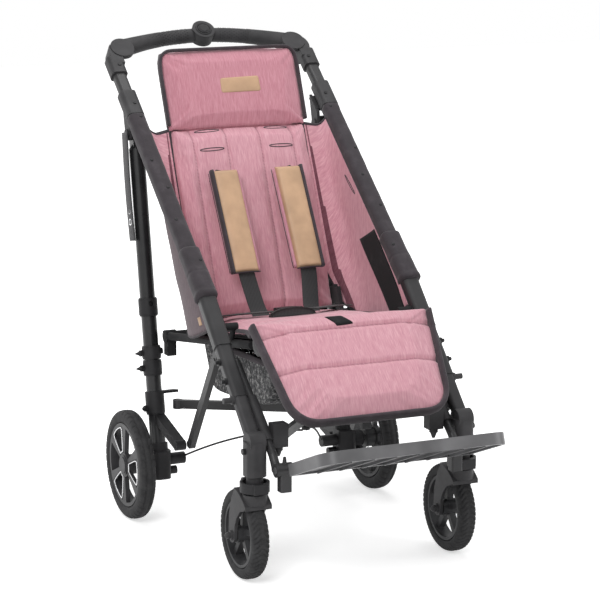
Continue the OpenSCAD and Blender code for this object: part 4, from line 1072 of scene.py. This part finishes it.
def shoulder_pad(side, word):
    """Padded leatherette sleeve over a strap."""

    def top(u, v):
        d, n = pad_line(v)
        crown = 3 + 10.5 * swell(u, 3) ** 0.8 * swell(v, 14) ** 0.4
        wave = 0.7 * noise.noise(Vector((u * 3, v * 6, side)))
        return backed(side * (PAD_X - (2 * u - 1) * PAD_HALF), d, n + crown + wave)

    def low(u, v):
        d, n = pad_line(v)
        return backed(side * (PAD_X - (2 * u - 1) * PAD_HALF), d, n - 5.5)

    ob = pad_grid(f"shoulder_pad_{word}", 26, 60, top, low, [tan, tan])
    ob.modifiers.new("finer", "SUBSURF").levels = 1
    apply_mods(ob)
    return ob


pads = [shoulder_pad(side, word) for side, word in SIDES]
done(pads[0], "backrest", "tan_leather", "shoulder_pads")
done(pads[1], "backrest", "tan_leather")

for side, word in SIDES:
    outer = [backed(side * 104.5, d, n + 3) for d, n in map(pad_line, QUARTERS)]
    path = smooth_path(outer, 8, 2)
    bind(f"shoulder_binding_{word}", path, back_face, oval(9, 15, 12, 2.8), "backrest")
    foot = [backed(side * (PAD_X + x), 96.5, 78 + 7 * (1 - (x / 31) ** 2)) for x in range(-30, 32, 6)]
    bind(f"shoulder_hem_{word}", foot, back_face, oval(2.6, 9, 10), "backrest")
    for edge, x, deep in (("inner", 43, 3), ("outer", 103.5, 6)):
        line = [backed(side * x, 100 + v * 228, pad_line(v)[1] - deep) for v in QUARTERS]
        path = smooth_path(line, 8, 2)
        # The linings under the pad edges take the darker pink copy: painted shade.
        bind(f"shoulder_lining_{edge}_{word}", path, back_face, oval(7, 9, 10, 3), "backrest",
             "pink_fabric", pink_shade)
        path = [q - back_face * 4.6 * MM for q in path]
        bind(f"shoulder_piping_{edge}_{word}", path, back_face, oval(8, 1.8, 8), "backrest")

belts = []
for side in (-1, 1):
    path = smooth_path([seated(-side * x, d, n) for x, d, n in BELT], 8, 4)
    belts.append(webbing(f"lap_web_{side}", path, seat_face, 30))


def belt_at(u, v, d):
    """A point of the half-round padded belt."""
    return seated((2 * u - 1) * 52 + BELT_X, d, 42 + 17 * swell(u, 2.2) * v)


belts.append(pad_grid("lap_pad", 30, 8, lambda u, v: belt_at(u, v, 176 - 5 * swell(v)),
                      lambda u, v: belt_at(u, v, 162 + 4 * swell(v)), [black_web, black_web]))
buckle = [seated(x + BELT_X, 150, n) for x, n in ((-26, 52), (-12, 53), (0, 53), (12, 53), (26, 52))]
path = smooth_path(buckle, 5, 1)
belts.append(sweep("lap_buckle", path, seat_face, rrect(38, 13, 5, 4), [casting_dark]))
done(join(belts, "lap_belt_soft"), "chassis", "webbing", "lap_belt")

# Hand strap outside the left rear leg

leg_out = Vector((-1, 0, 0))
path = [legged(-LEG_X - 24.5 - 2 * math.sin(math.pi * k / 24), 484 + 236 * k / 24) for k in range(25)]
hand = sweep("hand_strap_webbing", path, leg_out, rrect(32, 3.2, 1.4, 2), [side_web])
done(hand, "rear_frame", "webbing", "hand_strap")
for k, h in enumerate((525, 549)):
    ring = []
    mid = legged(-LEG_X - 26.6, h)
    up = (legged(0, h + 1) - legged(0, h)).normalized()
    back = (legged(0, h, 1) - legged(0, h)).normalized()
    for a in circle(24):
        ring.append(mid + (up * math.sin(a) + back * math.cos(a)) * 6.2 * MM)
    bind(f"hand_eyelet_{k}", ring, leg_out, oval(2.6, 2.2, 8), "rear_frame", "axle_steel", chrome, True)

# Basket: net hung from the cross tubes, bound along its top

BASKET_HALF = 149
profile = [(60, 418), (100, 330), (390, 300), (440, 401)]
side_path = smooth_path([pt(0, y, z) for y, z in profile], 14, 8)
count = len(side_path)


def basket_point(u, k, inset):
    p = side_path[k]
    x = (2 * u - 1) * (BASKET_HALF - inset)
    depth = swell(u, 6)
    sag = 5 * depth * math.sin(math.pi * k / (count - 1)) + 1.5 * noise.noise(Vector((u * 4, k / 6, 1)))
    return p + Vector((x, 0, -sag + inset)) * MM


rows = 40
outer_skin = [[basket_point(u / rows, k, 0) for u in range(rows + 1)] for k in range(count)]
inner_skin = [[basket_point(u / rows, k, 2.2) for u in range(rows + 1)] for k in range(count)]
rings = [o + list(reversed(i)) for o, i in zip(outer_skin, inner_skin)]
sling = rings_mesh("basket_net", rings, [net])


def rim_at(x, t):
    """A point of the basket's top edge: t runs from its front to its rear."""
    p = side_path[0].lerp(side_path[-1], t)
    return Vector((x * MM, p.y, p.z))


def cheek(side):
    """Place function of the net's end at one side."""

    def at(u, v, inset):
        k = min(count - 1, int(round(u * (count - 1))))
        p = rim_at(0, u).lerp(side_path[k], v)
        return Vector((side * (BASKET_HALF - inset) * MM, p.y, p.z))

    return at


cheeks = [layer(f"basket_cheek_{side}", 40, 12, cheek(side), 0, 2, [net, net]) for side in (-1, 1)]
sling = join([sling] + cheeks, "basket_net")
done(sling, "chassis", "net", "basket")

widths = (-BASKET_HALF, -75, 0, 75, BASKET_HALF)
top_line = [rim_at(x, 0) for x in widths] + [rim_at(BASKET_HALF, k) for k in (0.3, 0.7)]
top_line += [rim_at(x, 1) for x in reversed(widths)] + [rim_at(-BASKET_HALF, k) for k in (0.7, 0.3)]
path = smooth_path(top_line, 6, 2, True)
bind("basket_binding", path, Vector((0, 0, 1)), oval(5, 13, 10, 2.6), "chassis", closed=True)
tab_face = Vector((0, -1, 0.4)).normalized()
for side, word in SIDES:
    tie = [pt(side * 110, y, z) for y, z in ((61, 412), (70, 440), (86, 452))]
    path = smooth_path(tie, 6, 2)
    bind(f"basket_tab_{word}", path, tab_face, rrect(24, 2.4, 1, 2), "chassis", "webbing", black_web)

# Brake cables: stiff sheaths from the axle housings to the crossed bars

CABLE_FROM = pt(-163.7, 512, 127)
CABLE_TO = pt(-5, 243.1, 230.4)
CABLE_BOW = 14
for side, word in SIDES:
    path = []
    for k in range(31):
        at = CABLE_FROM.lerp(CABLE_TO, k / 30)
        lift = 4 * CABLE_BOW * (k / 30) * (1 - k / 30)
        path.append(Vector((-side * at.x, at.y, at.z + lift * MM)))
    cable = sweep(f"brake_cable_sheath_{word}", path, Vector((side, 0, 0)), oval(4.4, 4.4, 12), [screw])
    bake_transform(cable)
    if side < 0:
        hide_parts("brake_cable")

# Tyres with moulded treads


def tyre_profile(r, w, seat):
    """Half section of a tyre from one bead to the other: (radius, across)."""
    out = [(seat, -w / 2 + 7), (seat + 3, -w / 2 + 1.2), (r - 18, -w / 2 + 0.2)]
    for k in range(25):
        a = -math.pi / 2 + math.pi * k / 24
        c, s = math.cos(a), math.sin(a)
        out.append((r - 15 + 15 * abs(c) ** 0.62, (w / 2 - 0.2) * math.copysign(abs(s) ** 0.75, s)))
    out += [(r - 18, w / 2 - 0.2), (seat + 3, w / 2 - 1.2), (seat, w / 2 - 7)]
    return out


def tyre(kind, word, centre, r, w, seat, turns, groove):
    """A tyre on its wheel, with its tread cut by groove."""
    section = tyre_profile(r, w, seat)
    rings = []
    for a in circle(turns):
        ring = []
        for rad, x in section:
            cut = groove(a, x) if rad > r - 17 else 0
            ring.append(centre + Vector((x, (rad - cut) * math.sin(a), (rad - cut) * math.cos(a))) * MM)
        rings.append(ring)
    ob = rings_mesh(f"{kind}_tread_{word}", rings, [tread], True)
    done(ob, f"{kind}_wheel_{word}", "tread", f"{kind}_tyre_{word}")


def saw(t):
    return abs((t % 1.0) * 2 - 1)


def notch(t, wide):
    """1 in a groove, 0 outside, with sloped walls."""
    return max(0.0, min(1.0, (wide - abs(t)) / (0.35 * wide)))


def front_groove(a, x):
    t = a / (2 * math.pi) * 52 + abs(x) / 11
    cut = 2.4 * notch(saw(t) - 0.05, 0.3) * min(1, max(0, (abs(x) - 2.2) / 1.5))
    return max(cut, 2.0 * notch(x, 1.4))


def rear_groove(a, x):
    step = a / (2 * math.pi) * 44
    zig = 2.4 * (saw(step) - 0.5)
    cut = 2.3 * notch(abs(x) - 6.5 - zig, 1.6)
    side = notch(saw(step + 0.25) - 0.04, 0.14) * min(1, max(0, (abs(x) - 8) / 2))
    return max(cut, 2.0 * side)


for side, word in SIDES:
    tyre("front", word, pt(side * TUBE_X, 25, 92.5), 92.5, 36, 68.5, 416, front_groove)
    tyre("rear", word, pt(side * WHEEL_X, WHEELBASE, AXLE_Z), 119, 34, 91, 440, rear_groove)

# Silver lines round every other opening of the rear rims

for side, word in SIDES:
    mid = pt(side * WHEEL_X, WHEELBASE, AXLE_Z)
    outward = Vector((side, 0, 0))
    for i in (0, 2, 4):
        turn = i * 60 + 30
        loop = []
        for rad, a0, a1 in ((81, -21, 21), (29, 17, -17)):
            for k in range(9):
                a = math.radians(turn + lerp(a0, a1, k / 8))
                loop.append(mid + Vector((side * 15.3, rad * math.sin(a), rad * math.cos(a))) * MM)
        path = smooth_path(loop, 3, 2, True)
        line = sweep(f"rim_line_{word}_{i}", path, outward, oval(2.4, 2.0, 8), [chrome], True)
        done(line, f"rear_wheel_{word}", "axle_steel")

# Grips: rows of raised dots

GRIP_ARCH = 640
GRIP_R = 16
ARCH_S = 761
up_dir = (upper(0, 1, 0) - upper(0, 0, 0)).normalized()
handle_face = normal_of(upper)


def arch(side, degrees):
    """A point of the handle's arch, that far off its middle, and its outward direction."""
    a = math.radians(degrees)
    heart = upper(side * GRIP_ARCH * math.sin(a), ARCH_S - GRIP_ARCH + GRIP_ARCH * math.cos(a), 0)
    out = (Vector((side * math.sin(a), 0, 0)) + up_dir * math.cos(a)).normalized()
    return heart, out


for side, word in SIDES:
    spots = []
    for k in range(26):
        heart, out = arch(side, 3.6 + k * 0.5)
        for j in range(14):
            b = 2 * math.pi * (j + 0.5 * (k % 2)) / 14
            n = out * math.cos(b) + handle_face * math.sin(b)
            spots.append((heart + n * (GRIP_R - 0.1) * MM, n))
    dots = domes(f"grip_dots_{word}", spots, 1.6, 0.8, [screw], 8)
    done(dots, "chassis", "grip_rubber")

# Grip ends that widen into the elbows, and the collar round the push button

for side, word in SIDES:
    rings = []
    for k in range(14):
        t = k / 13
        heart, out = arch(side, lerp(9.5, 18.6, t))
        wide = lerp(GRIP_R + 0.1, 22, t * t) * (1 if k < 13 else 0.8)
        deep = lerp(GRIP_R + 0.1, 17.5, t) * (1 if k < 13 else 0.8)
        section = oval(2 * wide, 2 * deep, 28, 2.3)
        rings.append([heart + (out * x + handle_face * y) * MM for x, y in section])
    done(rings_mesh(f"grip_end_{word}", rings, [grip]), "chassis", "grip_rubber")

ring = [upper(16.6 * math.cos(a), ARCH_S + 16.6 * math.sin(a), 20.2) for a in circle(48)]
bind("button_collar", ring, handle_face, oval(4.6, 3.2, 10), "chassis", "moulding_dark",
     casting_dark, True)

# Materials of the CAD pieces that stay

SLOT_LOOKS = {
    "frame_grey": frame_paint, "leg_black": leg_paint, "plate_grey": plate_paint, "moulding": casting,
    "moulding_dark": casting_dark, "rim_plastic": rim_plastic, "grip_rubber": grip, "tread": tread,
    "axle_steel": axle, "screw_black": screw, "pink_fabric": pink, "cover_fabric": cover,
    "webbing": black_web, "net": net, "tan_leather": tan, "board": panel,
}
slot_of = {s["node"]: s["material_slot"] for s in frame["record"]["subparts"]}
for name, ob in frame["nodes"].items():
    look = rail_paint if name in ("seat_rails", "rear_cross_bar") else SLOT_LOOKS[slot_of[name]]
    if not ob.material_slots:
        ob.data.materials.append(look)
    for k in ob.material_slots:
        k.material = look

# Stage, light and camera

scene = bpy.context.scene
scene.view_settings.view_transform = "Standard"


def lamp(name, place, aim, size, power):
    data = bpy.data.lights.new(name, "AREA")
    data.shape = "DISK"
    data.size = size
    data.energy = power
    ob = bpy.data.objects.new(name, data)
    ob.location = place
    ob.rotation_euler = (Vector(aim) - Vector(place)).to_track_quat("-Z", "Y").to_euler()
    scene.collection.objects.link(ob)


lamp("key", (-2.6, -3.2, 3.4), (0, -0.05, 0.5), 2.2, 125)
lamp("fill", (3.4, -2.2, 1.8), (0, 0, 0.5), 2.6, 34)
lamp("top", (0.2, 0.6, 3.6), (0, 0, 0.5), 2.2, 42)
lamp("rim", (-1.4, 3.4, 2.2), (0, 0.1, 0.6), 1.8, 34)


def seen_directly(tree):
    """1 for a ray from the camera, a mirror or glass, and 0 for one that only brings light."""
    ray = tree.nodes.new("ShaderNodeLightPath")
    out = ray.outputs["Is Camera Ray"]
    for kind in ("Is Glossy Ray", "Is Transmission Ray"):
        most = tree.nodes.new("ShaderNodeMath")
        most.operation = "MAXIMUM"
        tree.links.new(out, most.inputs[0])
        tree.links.new(ray.outputs[kind], most.inputs[1])
        out = most.outputs[0]
    return out


world = bpy.data.worlds.new("studio")
scene.world = world
world.use_nodes = True
tree = world.node_tree
sky = tree.nodes["Background"]
sky.inputs["Color"].default_value = (1, 1, 1, 1)
seen = seen_directly(tree)
level = tree.nodes.new("ShaderNodeMapRange")
level.inputs["To Min"].default_value = 0.38
level.inputs["To Max"].default_value = 1.0
tree.links.new(seen, level.inputs["Value"])
tree.links.new(level.outputs["Result"], sky.inputs["Strength"])

floor = make("floor", [(-9, -9, 0), (9, -9, 0), (9, 9, 0), (-9, 9, 0)], [(0, 1, 2, 3)], [])
ground = Mat("pale_floor", (0.86, 0.86, 0.86), 0.9, specular=0.1)
away = ground.node("ShaderNodeVectorMath", operation="LENGTH")
ground.link(ground.space((1, 1, 1)), away.inputs[0])
fade = ground.spread(away.outputs["Value"], 0.56, 1.0, 0.55, 1.5)
glow = ground.node("ShaderNodeEmission", Color=(1, 1, 1, 1))
ground.link(ground.math("MULTIPLY", seen_directly(ground.tree), fade), glow.inputs["Strength"])
both = ground.node("ShaderNodeAddShader")
ground.link(ground.shader.outputs[0], both.inputs[0])
ground.link(glow.outputs[0], both.inputs[1])
ground.link(both.outputs[0], ground.tree.nodes["Material Output"].inputs["Surface"])
floor.data.materials.append(ground.m)
floor.location.z = -0.0005

YAW, PITCH, ROLL = 24.519, 11.606, 0.126
yaw, pitch = math.radians(YAW), math.radians(PITCH)
ahead = Vector((math.sin(yaw) * math.cos(pitch), math.cos(yaw) * math.cos(pitch), -math.sin(pitch)))
across = Vector((math.cos(yaw), -math.sin(yaw), 0))
above = across.cross(ahead)
basis = Matrix((across, above, -ahead)).transposed()
camera = bpy.data.objects.new("camera", bpy.data.cameras.new("camera"))
camera.data.lens = 2449.63 / 600 * 36
camera.data.sensor_width = 36
camera.data.clip_end = 60
place = Matrix.Translation(pt(-2093.97, -4322.44, 1542.35))
camera.matrix_world = place @ basis.to_4x4() @ Matrix.Rotation(math.radians(ROLL), 4, "Z")
scene.collection.objects.link(camera)
scene.camera = camera
